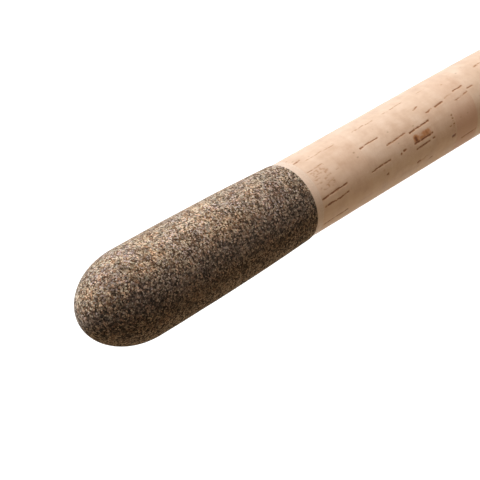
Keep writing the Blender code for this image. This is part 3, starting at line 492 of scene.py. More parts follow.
def quiver_paint():
    """Pale lacquer that turns to a bright orange sighting end, with a dark band between."""
    s = Shader("quiver_paint", Coat_Weight=0.6, Coat_Roughness=0.08)
    y = s.add("ShaderNodeSeparateXYZ", {"Vector": s.point}).outputs["Y"]
    share = s.between(y, tip_front, quiver_front)
    stops = [(0.0, 0.60, 0.60, 0.56), (0.600, 0.020, 0.020, 0.022), (0.612, 0.86, 0.155, 0.020)]
    ripple = s.noise(0.0009, stretch=(1.0, 0.12, 1.0))
    shade = s.between(ripple, 0.3, 0.7, 0.0, 0.12)
    colour = s.mix(shade, s.ramp(share, *stops, steps=True), (0.30, 0.24, 0.18))
    return s.finish(colour, s.between(ripple, 0.3, 0.7, 0.22, 0.36))


def paper_arbor():
    """Wound kraft paper."""
    s = Shader("paper_arbor")
    fibre = s.noise(0.0008, 4.0, stretch=(1.0, 0.2, 1.0))
    colour = s.two_tone(fibre, (0.38, 0.28, 0.18), (0.55, 0.43, 0.30))
    return s.finish(colour, s.between(fibre, 0.0, 1.0, 0.8, 0.95))


# Buffed steel, anodised alloy with a lathe's lines round it, and dark ceramic. Each has one soft
# pattern: its stretch, size and detail, its two colours, the roughness that goes with each, the
# depth of its relief, and constants
PATTERNED = {
    "stainless": (
        (0.25, 8.0, 0.25), 0.0016, 3.0, (0.34, 0.34, 0.355), (0.47, 0.47, 0.48), (0.20, 0.34), 0.000003,
        {"Metallic": 1.0, "Anisotropic": 0.4},
    ),
    "dark_alloy": (
        (0.4, 24.0, 0.4), 0.004, 3.0, (0.075, 0.077, 0.084), (0.135, 0.137, 0.145), (0.22, 0.38), 0.000006,
        {"Metallic": 1.0},
    ),
    "ring_ceramic": (
        None, 0.0012, 2.0, (0.036, 0.037, 0.042), (0.060, 0.061, 0.068), (0.06, 0.13), 0.0,
        {"Specular_IOR_Level": 0.4},
    ),
}


def patterned(name, stretch, size, detail, first, second, roughness, depth, constants):
    s = Shader(name, **constants)
    pattern = s.noise(size, detail, stretch=stretch)
    rough = s.between(pattern, 0.3, 0.7, *roughness)
    return s.finish(s.two_tone(pattern, first, second), rough, pattern if depth else None, depth)


materials = {name: patterned(name, *settings) for name, settings in PATTERNED.items()}
for look in (
    composite_cork, natural_cork, trim_cork, black_nylon, paper_arbor, carbon_blank, thread_wrap,
    quiver_paint,
):
    materials[look.__name__] = look()
slot_of = {row["node"]: row["material_slot"] for row in frame["record"]["subparts"]}
bodies = frame["record"]["behaviour"]["bodies"]
body_of = {node: body for body, nodes in bodies.items() for node in nodes}


# Shapes as rows of points


def angles(count, start=0.0):
    """Angles round the rod, from straight up towards +X."""
    return start + np.arange(count) * TURN / count


def ring_points(y, radius, turn, centre_z=0.0, centre_y=0.0):
    """Points at stations y and radii radius, all round an axis along Y; the arguments may be
    arrays that broadcast to (rows, columns)."""
    y, radius, turn = np.broadcast_arrays(y, radius, turn)
    points = [radius * np.sin(turn), y + centre_y, radius * np.cos(turn) + centre_z]
    return np.stack(points, axis=-1)


def turned_rows(profile, steps, centre_z=0.0, centre_y=0.0):
    """Rows of points round an axis along Y from (station, radius) pairs."""
    profile = np.array(profile, float)
    return ring_points(profile[:, :1], profile[:, 1:], angles(steps)[None], centre_z, centre_y)


def bore_rows(front, rear, radius_at, clearance, steps):
    """Rows back along a bore, which clears the radius of what is inside it."""
    return turned_rows([(y, radius_at(y) + clearance) for y in (front, rear)], steps)


def skin(rows, closed=False):
    """Vertices and faces of a tube over rows of points. It closes on itself, or gets caps."""
    count, steps = rows.shape[:2]
    index = np.arange(count * steps).reshape(count, steps)
    caps = [] if closed else [index[:1, ::-1], index[-1:]]
    if closed:
        index = np.vstack([index, index[:1]])
    near, far = index[:-1], index[1:]
    quads = np.stack([near, np.roll(near, -1, 1), np.roll(far, -1, 1), far], axis=-1)
    return rows.reshape(-1, 3), [quads.reshape(-1, 4)] + caps


def mesh_from(name, skins):
    """One mesh of all the skins. Each skin is its points and arrays of faces with equal corners."""
    points = [skin_points for skin_points, _ in skins]
    offsets = np.cumsum([0] + [len(skin_points) for skin_points in points])
    groups = [group + offset for (_, faces), offset in zip(skins, offsets) for group in faces]
    corners = np.concatenate([group.ravel() for group in groups]).astype(np.int32)
    sizes = np.concatenate([np.full(len(group), group.shape[1]) for group in groups])
    mesh = bpy.data.meshes.new(name)
    mesh.vertices.add(int(offsets[-1]))
    mesh.vertices.foreach_set("co", np.concatenate(points).ravel())
    mesh.loops.add(len(corners))
    mesh.loops.foreach_set("vertex_index", corners)
    mesh.polygons.add(len(sizes))
    mesh.polygons.foreach_set("loop_start", (np.cumsum(sizes) - sizes).astype(np.int32))
    mesh.update(calc_edges=True)
    mesh.validate()
    return mesh


def add_object(name, data):
    obj = bpy.data.objects.new(name, data)
    bpy.context.scene.collection.objects.link(obj)
    return obj


def piece(name, skins, attributes=None, sharp=38.0):
    """A finished piece in place of the CAD node of the same name, from one or more skins. Edges
    stay sharp from the angle sharp on, in degrees."""
    mesh = mesh_from(name + "_look", skins)
    mesh.shade_smooth()
    mesh.set_sharp_from_angle(angle=math.radians(sharp))
    for label, values in (attributes or {}).items():
        layer = mesh.attributes.new(label, "FLOAT", "POINT")
        layer.data.foreach_set("value", np.asarray(values, np.float32).ravel())
    mesh.materials.append(materials[slot_of[name]])
    obj = add_object(name + "_look", mesh)
    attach(obj, body_of[name])
    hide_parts(name)


def tube(name, outer, bore, attributes=None, sharp=38.0):
    """A piece with a hole through it, from its rows outside to the front and in the bore back."""
    piece(name, [skin(np.concatenate([outer, bore]), closed=True)], attributes, sharp)


def bezier(start, control, end, count=24):
    t = np.linspace(0, 1, count)[:, None]
    start, control, end = (np.array(point, float) for point in (start, control, end))
    return (1 - t) ** 2 * start + 2 * t * (1 - t) * control + t * t * end


def rounded(corners, edge, count=5):
    """A closed outline with each corner rounded off over the given distance."""
    corners = np.array(corners, float)
    outline = []
    for before, corner, after in zip(np.roll(corners, 1, 0), corners, np.roll(corners, -1, 0)):
        sides = (before - corner, after - corner)
        start, end = (corner + side * min(0.45, edge / np.linalg.norm(side)) for side in sides)
        outline.extend(bezier(start, corner, end, count))
    return outline


def sleeve(rear, front, outer, bore):
    """The corners of a plain sleeve's section."""
    return [(rear, outer), (front, outer), (front, bore), (rear, bore)]


def lathe(name, corners, edge=0.0002, steps=96):
    """A turned piece from its (station, radius) corners: outside to the front, then the bore back."""
    piece(name, [skin(turned_rows(rounded(corners, edge), steps), closed=True)])


def rod_along(path, radii, steps=16):
    """A round wire along a path that never runs across the rod."""
    along = np.gradient(path, axis=0)
    along /= np.linalg.norm(along, axis=1, keepdims=True)
    side = np.cross(along, (1.0, 0.0, 0.0))
    side /= np.linalg.norm(side, axis=1, keepdims=True)
    up = np.cross(side, along)
    turn = angles(steps)[None, :, None]
    radii = np.broadcast_to(radii, len(path))[:, None, None]
    return skin(path[:, None] + radii * (np.sin(turn) * side[:, None] + np.cos(turn) * up[:, None]))


def noise(points, size, seed=0):
    """Smooth noise from -1 to 1 at each point, with lumps of about the given size."""
    cell = points / size + seed * 13.7
    base = np.floor(cell).astype(np.int64)
    ease = cell - base
    ease = ease * ease * (3 - 2 * ease)
    total = np.zeros(points.shape[:-1])
    for corner in itertools.product((0, 1), repeat=3):
        key = base + np.array(corner)
        mixed = key[..., 0] * 73856093 ^ key[..., 1] * 19349663 ^ key[..., 2] * 83492791
        mixed = (mixed ^ (mixed >> 13)) * 1274126177
        value = ((mixed ^ (mixed >> 16)) & 0xFFFF) / 0xFFFF
        total += value * np.prod(np.where(corner, ease, 1 - ease), axis=-1)
    return 2 * total - 1


def smooth_step(values, low, high):
    share = np.clip((values - low) / (high - low), 0, 1)
    return share * share * (3 - 2 * share)


# Butt cap


def cap_profile():
    """(station, radius) from the middle of the rounded end to the joint."""
    belly = widest("butt_cap")
    body = cap_front - cap_rear - CAP_EDGE_RADIUS - CAP_END_LENGTH
    profile = []
    for angle in np.linspace(0.02, math.pi / 2, 90):
        along = CAP_END_LENGTH * (1 - math.cos(angle))
        profile.append((cap_rear + along, belly * math.sin(angle)))
    for share in np.linspace(0, 1, 190)[1:]:
        radius = belly - (belly - CAP_JOINT_RADIUS) * share**CAP_TAPER_POWER
        profile.append((cap_rear + CAP_END_LENGTH + body * share, radius))
    for angle in np.linspace(0, math.pi / 2, 5)[1:]:
        along = cap_front - CAP_EDGE_RADIUS * (1 - math.sin(angle))
        profile.append((along, CAP_JOINT_RADIUS - CAP_EDGE_RADIUS * (1 - math.cos(angle))))
    return profile


def build_butt_cap():
    rows = turned_rows(cap_profile(), CAP_STEPS)
    lumps = noise(rows, 0.0007, 1) * 0.6 + noise(rows, 0.0004, 2) * 0.4
    relief = lumps * CAP_GRAIN_RELIEF + noise(rows, 0.009, 3) * CAP_WAVES
    outward = rows * np.array([1.0, 0.0, 1.0])
    outward /= np.maximum(np.linalg.norm(outward, axis=-1, keepdims=True), 1e-9)
    bore = bore_rows(cap_front, butt_rear - BORE_CLEARANCE, butt_radius, BORE_CLEARANCE, CAP_STEPS)
    rows = np.concatenate([rows + outward * relief[..., None], bore])
    # Painted light: the side towards the lamps is painted paler, a little less so near the rounded end
    side = np.cos(angles(CAP_STEPS) - math.radians(FACING + PAINTED_LIGHT_SIDE))[None, :]
    pale = smooth_step(side + noise(rows, 0.012, 4) * 0.18, -0.1, 1.15)
    pale = pale * (0.80 + 0.20 * smooth_step(rows[..., 1] - cap_rear, 0.0, PAINTED_LIGHT_FADE))
    piece("butt_cap", [skin(rows)], {"pale": pale})


# Natural cork

# Marks seen on the rings: millimetres from the butt cap to a mark's two ends, degrees round
# from the side that faces the camera (positive is the lower side), width in mm, darkness
PORES = {
    "cork_ring_1": [
        (3.3, 16.0, 19, 0.55, 1.0), (3.8, 15.9, 32, 0.55, 1.0), (3.9, 15.9, 61, 0.55, 0.85),
        (3.6, 11.4, -24, 0.32, 0.6), (3.2, 7.0, -49, 0.50, 0.85), (3.2, 4.4, -63, 0.45, 0.7),
        (7.7, 15.9, -43, 0.26, 0.5), (9.4, 10.9, -6, 0.50, 0.6), (13.9, 15.6, -6, 0.45, 0.7),
        (10.6, 11.6, 7, 0.35, 0.5),
    ],
    "cork_ring_2": [(16.1, 22.0, -43, 0.26, 0.5)],
    "cork_ring_3": [
        (27.0, 37.2, -16, 0.45, 0.9), (27.4, 37.6, 22, 0.50, 0.95), (34.3, 35.9, 40, 0.80, 0.9),
        (32.8, 34.0, 31, 0.60, 0.35), (31.4, 37.9, -47, 0.32, 0.65),
    ],
    "cork_ring_4": [
        (38.0, 48.5, -1, 0.42, 0.85), (42.4, 43.5, 22, 0.60, 1.0), (44.0, 46.0, 20, 0.60, 0.9),
        (38.0, 42.6, -47, 0.30, 0.6), (46.9, 49.4, -48, 0.30, 0.6),
    ],
    "cork_ring_5": [
        (49.6, 60.8, 0, 0.55, 1.0), (49.9, 60.4, 19, 0.55, 1.0), (50.3, 58.2, 28, 0.60, 0.95),
        (59.2, 60.8, 26, 0.70, 0.9), (50.6, 56.8, 50, 0.70, 0.8), (57.2, 59.7, 57, 0.70, 0.7),
        (49.6, 58.7, -49, 0.30, 0.6), (57.6, 61.1, -27, 0.38, 0.75),
    ],
    "cork_ring_6": [
        (61.3, 65.0, -13, 0.42, 0.85), (66.3, 71.4, -14, 0.50, 0.95), (70.8, 71.9, 10, 0.50, 0.85),
        (70.7, 71.9, 15, 0.60, 1.0), (68.7, 70.1, 24, 0.65, 0.95), (70.7, 71.9, 23, 0.60, 1.0),
        (69.5, 71.9, 41, 0.85, 1.0), (66.2, 71.9, -51, 0.26, 0.4),
    ],
    "cork_ring_7": [
        (72.6, 77.3, -18, 0.36, 0.5), (78.0, 83.8, -21, 0.50, 0.95), (76.0, 83.9, -8, 0.34, 0.65),
        (77.0, 78.0, -40, 0.45, 0.5), (75.0, 83.8, 54, 0.55, 0.65),
    ],
    "rear_grip": [(84.3, 88.0, -14, 0.45, 0.8), (95.4, 100.0, -41, 0.45, 0.8)],
    "fore_grip": [],
}

# How far round a mark creeps as it runs towards the tip, in degrees for each millimetre, and how
# it wanders: the length of a bend, its depth and its seed
MARK_CREEP = -0.25
MARK_BENDS = ((0.0022, 0.00020, 0), (0.0006, 0.00007, 20))
MARK_END = (0.0002, 0.0005)

# Each ring's own tone: how much darker it is, how red, and how red besides on its lower side
RING_TONES = [
    (0.10, 0.04, 0.00), (0.12, 0.06, 0.00), (0.06, 0.02, 0.00), (0.08, 0.03, 0.00),
    (0.10, 0.01, 0.00), (0.13, 0.03, 0.08), (0.12, 0.12, 0.50),
]

# The knot on the fifth ring and patches of fine pits: from, to, lowest and highest angle, as
# above
KNOT = (49.9, 60.6, 5.0, 22.0)
PITS = {"cork_ring_1": (3.8, 11.8, -24.0, 12.0), "cork_ring_6": (70.4, 71.9, 8.0, 44.0)}


def arc_distance(turn, degrees, radius):
    """Distance round the surface from a line at an angle from the camera's side."""
    away = turn - np.radians(FACING + degrees)
    return ((away + math.pi) % TURN - math.pi) * radius


def pore_field(rows, turn, radius, marks, seed):
    """How dark and deep the pores are at each point, from 0 to 1. The pores wander, and fade in
    places, as real ones do."""
    u = rows[..., 1] - cap_front
    field = np.zeros(u.shape)
    past, within = MARK_END
    along = rows[:, :1] * np.array([0.0, 1.0, 0.0])
    for number, (start, end, degrees, width, strength) in enumerate(marks, seed):
        drift = sum(noise(along, size, number + extra) * depth for size, depth, extra in MARK_BENDS)
        degrees = degrees + MARK_CREEP * (u / MM - (start + end) / 2)
        across = np.abs(arc_distance(turn, degrees, radius) + drift)
        half = width * MM / 2 * (0.9 + 0.5 * noise(along, 0.0009, number + 50))
        edge = np.clip(1.35 - across / half, 0, 1)
        ends = smooth_step(u, start * MM - past, start * MM + within)
        ends = ends * (1 - smooth_step(u, end * MM - within, end * MM + past))
        breaks = noise(along, 0.0010, number + 90)
        fade = 0.35 + 0.65 * smooth_step(breaks, -0.1 - strength * 0.8, 0.45 - strength * 0.7)
        field = np.maximum(field, np.clip(edge * ends * fade, 0, 1) * strength)
    return field


def box_field(rows, turn, radius, patch, soft):
    """1 inside a patch of (from, to, lowest angle, highest angle), fading out over soft metres."""
    start, end, low, high = patch
    u = rows[..., 1] - cap_front
    half = math.radians(high - low) / 2 * radius
    across = np.abs(arc_distance(turn, (low + high) / 2, radius))
    inside = smooth_step(u, start * MM, start * MM + soft)
    inside = inside * (1 - smooth_step(u, end * MM - soft, end * MM))
    return inside * (1 - smooth_step(across, half - soft, half))


def knot_field(rows, turn, radius):
    """The knot: a mottled patch, solid at its rear end."""
    from_end = (rows[..., 1] - cap_front) / MM - KNOT[0]
    blob = (1 - smooth_step(from_end, 1.6, 3.4)) * 0.75
    core = 0.42 + 0.34 * noise(rows, 0.0011, 11) + 0.2 * noise(rows, 0.0005, 12) + blob
    return np.clip(box_field(rows, turn, radius, KNOT, 0.0016) * core, 0, 1)


def random_marks(rng, rear, front, hidden_side):
    """Pores nobody photographed. With hidden_side, they keep to the side away from the camera."""
    rear -= cap_front
    front -= cap_front
    marks = []
    for _ in range(PORES_HIDDEN):
        degrees = rng.uniform(80, 280) if hidden_side else rng.uniform(-180, 180)
        start = rng.uniform(rear, rear + (front - rear) * 0.5)
        end = min(front, start + rng.uniform(0.25, 1.0) * (front - rear))
        width = rng.uniform(0.25, 0.6)
        marks.append((start / MM, end / MM, degrees, width, rng.uniform(0.35, 1.0)))
    return marks


def cork_sleeve(name, seams, radius_at, steps, spacing, marks, tones):
    """A run of cork rings over the blank. Seams are the stations between rings, both ends
    included, and tones gives each ring's, as in RING_TONES."""
    rear, front = seams[0] - GLUE_GAP, seams[-1] + GLUE_GAP
    stations = np.linspace(rear, front, round((front - rear) / spacing))
    lips = [seam + offset for seam in seams for offset in (-GLUE_LINE, 0.0, GLUE_LINE)]
    stations = np.unique(np.clip(np.concatenate([stations, lips]), rear, front))
    y = stations[:, None]
    turn = angles(steps)[None, :]
    radius = np.array([radius_at(station) for station in stations])[:, None]
    rows = ring_points(y, radius, turn)
    pore = pore_field(rows, turn, radius, PORES[name] + marks, sum(map(ord, name)))
    if name in PITS:
        pits = smooth_step(noise(rows * np.array([1.0, 0.45, 1.0]), 0.00036, 21), 0.05, 0.65) * 0.34
        pore = np.maximum(pore, box_field(rows, turn, radius, PITS[name], 0.0006) * pits)
    grain = noise(rows, 0.0005, 5) * CORK_GRAIN + noise(rows, 0.006, 6) * CORK_WAVES
    outer = ring_points(y, radius - pore * PORE_DEPTH + grain, turn)

    groove = 1 - smooth_step(np.min(np.abs(y - seams), axis=1), 0.0, 1.5 * GLUE_LINE)[:, None]
    ring_number = np.clip(np.searchsorted(seams, stations) - 1, 0, len(seams) - 2)
    darker, red, lower_red = np.array(tones)[ring_number].T[..., None]
    lower_side = smooth_step(arc_distance(turn, 0.0, 1.0), -0.25, 0.6)
    fields = {
        "pore": pore,
        "tone": darker + groove * 0.05,
        "blush": red + lower_red * lower_side,
        "knot": knot_field(rows, turn, radius) if name == "cork_ring_5" else 0.0,
    }
    plain = np.zeros((2, steps))
    attributes = {
        label: np.concatenate([np.broadcast_to(values, pore.shape), plain])
        for label, values in fields.items()
    }
    tube(name, outer, bore_rows(front, rear, butt_radius, BORE_CLEARANCE, steps), attributes)


def eased(*stations):
    """The radius at any station, eased between the listed (station, radius) pairs."""

    def radius_at(y):
        for (near, near_radius), (far, far_radius) in zip(stations, stations[1:]):
            if y <= far:
                break
        return near_radius + (far_radius - near_radius) * smooth_step(y, near, far)

    return radius_at


def build_grip(rng, name, ring_count, radius_at):
    rear, front = span(name)
    seams = list(np.linspace(rear, front, ring_count + 1))
    tones = [(rng.uniform(0.0, 0.25), max(0.0, rng.uniform(-0.08, 0.08)), 0.0) for _ in seams[1:]]
    marks = []
    for ring_rear, ring_front in zip(seams, seams[1:]):
        seen = name == "rear_grip" and ring_rear == rear
        marks += random_marks(rng, ring_rear, ring_front, seen)
    cork_sleeve(name, seams, radius_at, GRIP_STEPS, GRIP_STEP, marks, tones)


def build_cork():
    rng = np.random.default_rng(7)
    for number, tone in enumerate(RING_TONES, 1):
        name = f"cork_ring_{number}"
        rear, front = span(name)
        marks = random_marks(rng, rear, front, True)
        shape = (lambda y: CORK_RADIUS, CORK_STEPS, CORK_STEP)
        cork_sleeve(name, [rear, front], *shape, marks, [tone])
    rear, front = span("rear_grip")
    waist = (rear + (front - rear) * GRIP_WAIST_SHARE, GRIP_WAIST_RADIUS)
    profile = eased((rear, CORK_RADIUS), waist, (front, GRIP_FRONT_RADIUS))
    build_grip(rng, "rear_grip", REAR_GRIP_RINGS, profile)
    rear, front = span("fore_grip")
    profile = eased((rear, FORE_GRIP_REAR_RADIUS), (front, FORE_GRIP_FRONT_RADIUS))
    build_grip(rng, "fore_grip", FORE_GRIP_RINGS, profile)


def build_trim_ring():
    rear, front = span("trim_ring")
    rear -= GLUE_GAP
    front += GLUE_GAP
    bore = butt_radius(front) + BORE_CLEARANCE
    profile = [
        (rear, CORK_RADIUS - TRIM_EDGE),
        (rear + TRIM_EDGE, CORK_RADIUS),
        ((rear + front) / 2, CORK_RADIUS),
        (front - TRIM_EDGE, CORK_RADIUS),
        (front, CORK_RADIUS - TRIM_EDGE),
        (front, bore),
        (rear, bore),
    ]
    piece("trim_ring", [skin(turned_rows(profile, CORK_STEPS), closed=True)])


# Reel seat


def build_collars():
    """Winding checks: one with a turned groove, and one that narrows down to the blank."""
    for name in ("rear_collar", "fore_collar"):
        rear, front = span(name)
        wide = widest(name)
        bore = butt_radius(rear) + BORE_CLEARANCE
        if name == "rear_collar":
            middle = (rear + front) / 2
            half, depth = COLLAR_GROOVE
            outside = [(middle - half, wide), (middle, wide - depth), (middle + half, wide), (front, wide)]
        else:
            outside = [((2 * rear + front) / 3, wide), (front, bore + COLLAR_FRONT_WALL)]
        lathe(name, [(rear, wide), *outside, (front, bore), (rear, bore)], COLLAR_EDGE, 160)


def build_reel_seat():
    """Barrel with a milled bed for the reel's foot between the hoods, and a right-hand thread."""
    rear, front = span("reel_seat")
    barrel = widest("reel_seat")
    bed_rear = span("fixed_hood")[1] - HOOD_SLOPE * HOOD_SWELL + BED_FROM_HOOD
    bed_front = span("sliding_hood")[0] + HOOD_SLOPE * HOOD_SWELL - BED_FROM_HOOD
    thread_rear = bed_front + BED_FROM_HOOD + THREAD_FROM_HOOD
    quarter = np.linspace(0, math.pi / 2, 6)
    stations = np.concatenate([
        rear + SEAT_EDGE * (1 - np.cos(quarter)),
        np.arange(rear + SEAT_STEP, thread_rear, SEAT_STEP),
        [bed_rear - BED_RUN, bed_rear + BED_RUN, bed_front - BED_RUN, bed_front + BED_RUN],
        [thread_rear - THREAD_SHOULDER],
        np.arange(thread_rear, front - SEAT_EDGE, THREAD_PITCH / 10),
        front - SEAT_EDGE * (1 - np.sin(quarter)),
    ])
    y = np.unique(stations)[:, None]
    turn = angles(SEAT_STEPS)[None, :]
    phase = (y / THREAD_PITCH - turn / TURN) % 1.0
    flank = smooth_step(np.abs(2 * phase - 1), 0.18, 0.82)
    run_in = smooth_step(y, thread_rear, thread_rear + THREAD_PITCH)
    threaded = THREAD_RADIUS - THREAD_DEPTH * flank * run_in
    radius = np.where(y < thread_rear - THREAD_SHOULDER / 2, barrel, threaded)
    for inward in (y - rear, front - y):
        from_edge = SEAT_EDGE - np.clip(inward, 0, SEAT_EDGE)
        radius = radius - SEAT_EDGE + np.sqrt(np.clip(SEAT_EDGE**2 - from_edge**2, 0, None))
    on_bed = (y > bed_rear) & (y < bed_front)
    depth = np.where(on_bed, BED_DEPTH, BED_DEPTH - BED_RELIEF)
    down = np.maximum(-np.cos(turn), 0.05)
    outer = ring_points(y, np.minimum(radius, depth / down), turn)
    tube("reel_seat", outer, bore_rows(front, rear, lambda y: SEAT_BORE_RADIUS, 0.0, SEAT_STEPS))


def build_arbors():
    for name in ("arbor_rear", "arbor_front"):
        rear, front = span(name)
        bore = butt_radius(rear) + BORE_CLEARANCE
        lathe(name, sleeve(rear, front, SEAT_BORE_RADIUS - BORE_CLEARANCE, bore))


def build_hood(name, mouth, direction):
    """A cowl whose mouth faces the bed, with a pocket for the end of the reel's foot. Its
    direction is 1 where the collar is in front of the mouth."""
    rear, front = span(name)
    length = (front if direction > 0 else -rear) - mouth * direction
    turn = angles(192)[None, :]
    down = np.clip(-np.cos(turn), 0, 1)

    def placed(share, reach, ahead=0.0):
        """Points at a share of the way from mouth to collar; the mouth leans back at the top."""
        z = reach * np.cos(turn)
        along = length * share + HOOD_SLOPE * (1 - share) * (z + HOOD_BORE + HOOD_WALL) + ahead
        return ring_points(mouth + direction * along, reach, turn)

    def outside(share):
        return HOOD_BORE + HOOD_WALL + HOOD_SWELL * (1 - smooth_step(share, 0, 1)) * down**2

    def inside(share):
        """The bore with its flat and, nearer the mouth, the pocket below it."""
        bored = np.minimum(HOOD_BORE, HOOD_FLAT / np.maximum(down, 0.05))
        if share >= POCKET_SHARE:
            return bored
        deep = POCKET_DEPTHS[0] + (POCKET_DEPTHS[1] - POCKET_DEPTHS[0]) * share / POCKET_SHARE
        upright = np.cos(turn) / deep
        square = (np.sin(turn) / POCKET_HALF_WIDTH) ** 2 + upright**2
        half = POCKET_ROOF / deep * upright
        rest = (POCKET_ROOF / deep) ** 2 - 1
        reach = (np.sqrt(np.maximum(half**2 - square * rest, 0)) - half) / square
        pocket = np.where(reach * down >= POCKET_ROOF, reach, 0)
        return np.clip(np.maximum(bored, pocket), 0, outside(share) - HOOD_LEAST_WALL)

    def lipped(share, ahead, first, last):
        """A rounded rim from one reach to another."""
        rim = []
        for angle in np.linspace(0, math.pi, 9):
            reach = first + (last - first) * (1 - math.cos(angle)) / 2
            rim.append(placed(share, reach, ahead * math.sin(angle)))
        return rim

    rows = lipped(0.02, -HOOD_LIP, inside(0.02), outside(0.02))
    rows += [placed(share, outside(share)) for share in np.linspace(0.04, 0.975, 40)]
    rows += lipped(0.98, HOOD_LIP, outside(0.98), inside(0.98))
    collar = np.linspace(0.96, POCKET_SHARE, 6)
    pocket = np.linspace(POCKET_SHARE - 0.001, 0.04, 24)
    rows += [placed(share, inside(share)) for share in (*collar, *pocket)]
    piece(name, [skin(np.concatenate(rows[::direction]), closed=True)], sharp=50.0)


def build_lock_nut():
    rear, front = span("lock_nut")
    steps = NUT_FLUTES * 24
    turn = angles(steps)[None, :]
    flute = (0.5 - 0.5 * np.cos(NUT_FLUTES * turn)) ** 1.6 * NUT_FLUTE_DEPTH
    y = np.linspace(rear, front, 49)[:, None]
    from_end = np.minimum(y - rear, front - y)
    bevel = NUT_CHAMFER * (1 - np.sqrt(1 - (1 - np.minimum(1, from_end / NUT_CHAMFER)) ** 2))
    place, half, depth, slope = NUT_GROOVE
    groove = depth * smooth_step(half - np.abs(y - rear - place), 0.0, slope)
    held = smooth_step(from_end, NUT_FLUTE_START, NUT_CHAMFER * 1.8)
    outer = ring_points(y, widest("lock_nut") - bevel - groove - flute * held, turn)
    tube("lock_nut", outer, bore_rows(front, rear, lambda y: NUT_BORE, 0.0, steps))


# Blanks


def build_blanks():
    top = butt_radius(butt_front)
    base = butt_radius(butt_rear)
    corners = [(butt_rear, base), (butt_front, top)]
    corners += [(y, radius - BUTT_WALL) for y, radius in corners[::-1]]
    lathe("butt_blank", corners, BUTT_EDGE)

    shoulder = butt_front + END_CLEARANCE
    socket = QUIVER_BASE_RADIUS + SOCKET_CLEARANCE
    corners = [
        (tip_rear, tip_radius(tip_rear)),
        (tip_front, tip_radius(tip_front)),
        (tip_front, socket),
        (quiver_rear - END_CLEARANCE, socket),
        (shoulder, tip_radius(shoulder) - TIP_WALL),
        (shoulder, top + SOCKET_CLEARANCE),
        (tip_rear, butt_radius(tip_rear) + SOCKET_CLEARANCE),
    ]
    lathe("tip_blank", corners)

    (rear_radius, rear_length), (front_radius, front_length) = QUIVER_ENDS
    profile = [(quiver_rear, rear_radius), (quiver_rear + rear_length, QUIVER_BASE_RADIUS)]
    profile += [(y, quiver_radius(y)) for y in np.linspace(tip_front, quiver_front - front_length, 60)]
    profile.append((quiver_front, front_radius))
    piece("quiver_blank", [skin(turned_rows(profile, 64))])


# Thread wraps


def hull_rows(stations, circles, steps):
    """Rows round the outside of a few circles each, as a tight thread would lie. The circles are
    (x, z, radius), each one value or one per station."""
    y = stations[:, None]
    sine, cosine = np.sin(angles(steps)), np.cos(angles(steps))
    rows = np.zeros((len(y), steps, 3))
    furthest = np.zeros((len(y), steps))
    for circle in circles:
        x, z, radius = (np.reshape(value, (-1, 1)) + 0 * y for value in circle)
        reach = x * sine + z * cosine + radius
        points = np.stack([x + radius * sine, y + 0 * reach, z + radius * cosine], axis=-1)
        rows = np.where((reach > furthest)[..., None], points, rows)
        furthest = np.maximum(reach, furthest)
    return rows


def foot_rise(radius_at, y):
    """Distance from the rod's axis to the face of a foot that lies on the underwrap."""
    return radius_at(y) + WRAP_CLEARANCE + UNDERWRAP + FOOT_CLEARANCE


def finish_wrap(name, outer, radius_at, stations, to_ends):
    """A wrap with its bore and, at a distance from each end, its band of lighter thread."""
    steps = outer.shape[1]
    bore = bore_rows(stations[-1], stations[0], radius_at, WRAP_CLEARANCE, steps)
    bands = [(inward > TRIM_BAND[0]) & (inward < TRIM_BAND[1]) for inward in to_ends]
    band = np.concatenate([np.any(bands, axis=0), [False, False]])
    tube(name, outer, bore, {"trim": np.broadcast_to(band[:, None], (len(band), steps))})


def build_wrap(name, y, feet, foot, radius_at, steps=96):
    """A sleeve of thread, thin between the feet and drawn over each. Each of the feet is (root,
    tip) from station y, and a foot is (width, thickness at its root, share of it at the tip)."""
    width, thick, tip_share = foot
    ends = [tip + math.copysign(WRAP_RAMP, tip) for _, tip in feet]
    rear = min(ends) if len(feet) > 1 else feet[0][0] + WRAP_INNER_RAMP
    front = max(ends)
    along = np.linspace(rear, front, round((front - rear) / WRAP_STEP))
    cover = np.zeros(len(along))
    bottom = np.zeros(len(along))
    for root, tip in feet:
        out = (along - root) * math.copysign(1, tip)
        reach = abs(tip - root)
        share = smooth_step(out, WRAP_INNER_RAMP, 2 * WRAP_INNER_RAMP)
        share = share * (1 - smooth_step(out, reach, reach + WRAP_RAMP))
        rise = foot_rise(radius_at, y + min(root, tip))
        thickness = thick * (1 - (1 - tip_share) * np.clip(out / reach, 0, 1))
        cover = np.where(out > 0, share, cover)
        bottom = np.where(out > 0, rise + thickness + WRAP_COVER * 0.6, bottom)
    edge = np.minimum(along - rear, front - along)
    bare = WRAP_END + (UNDERWRAP - WRAP_END) * smooth_step(edge, 0.0, WRAP_RAMP * 0.6)
    layer = WRAP_CLEARANCE + bare + (UNDERWRAP + WRAP_COVER - bare) * cover
    radius = radius_at(y + along)
    low = np.maximum(bottom * cover + radius * (1 - cover), radius) - WRAP_CORNER
    circles = [(0.0, 0.0, radius + layer)]
    circles += [(half * cover, -low, WRAP_CORNER) for half in (-width / 2, width / 2)]
    outer = hull_rows(y + along, circles, steps)
    finish_wrap(name, outer, radius_at, y + along, [np.abs(along - end) for end in ends])


def build_socket_wrap(name):
    """A whipping at the open end of a blank."""
    rear, front = span(name)
    y = np.linspace(rear, front, round((front - rear) / WRAP_STEP))
    edge = np.minimum(y - rear, front - y)
    layer = WRAP_END + (SOCKET_WRAP - WRAP_END) * smooth_step(edge, 0.0, WRAP_RAMP)
    outer = turned_rows(np.stack([y, tip_radius(y) + WRAP_CLEARANCE + layer], axis=1), 96)
    finish_wrap(name, outer, tip_radius, y, [edge])


# Guides


def sized(pair, ring):
    return pair[0] + pair[1] * ring


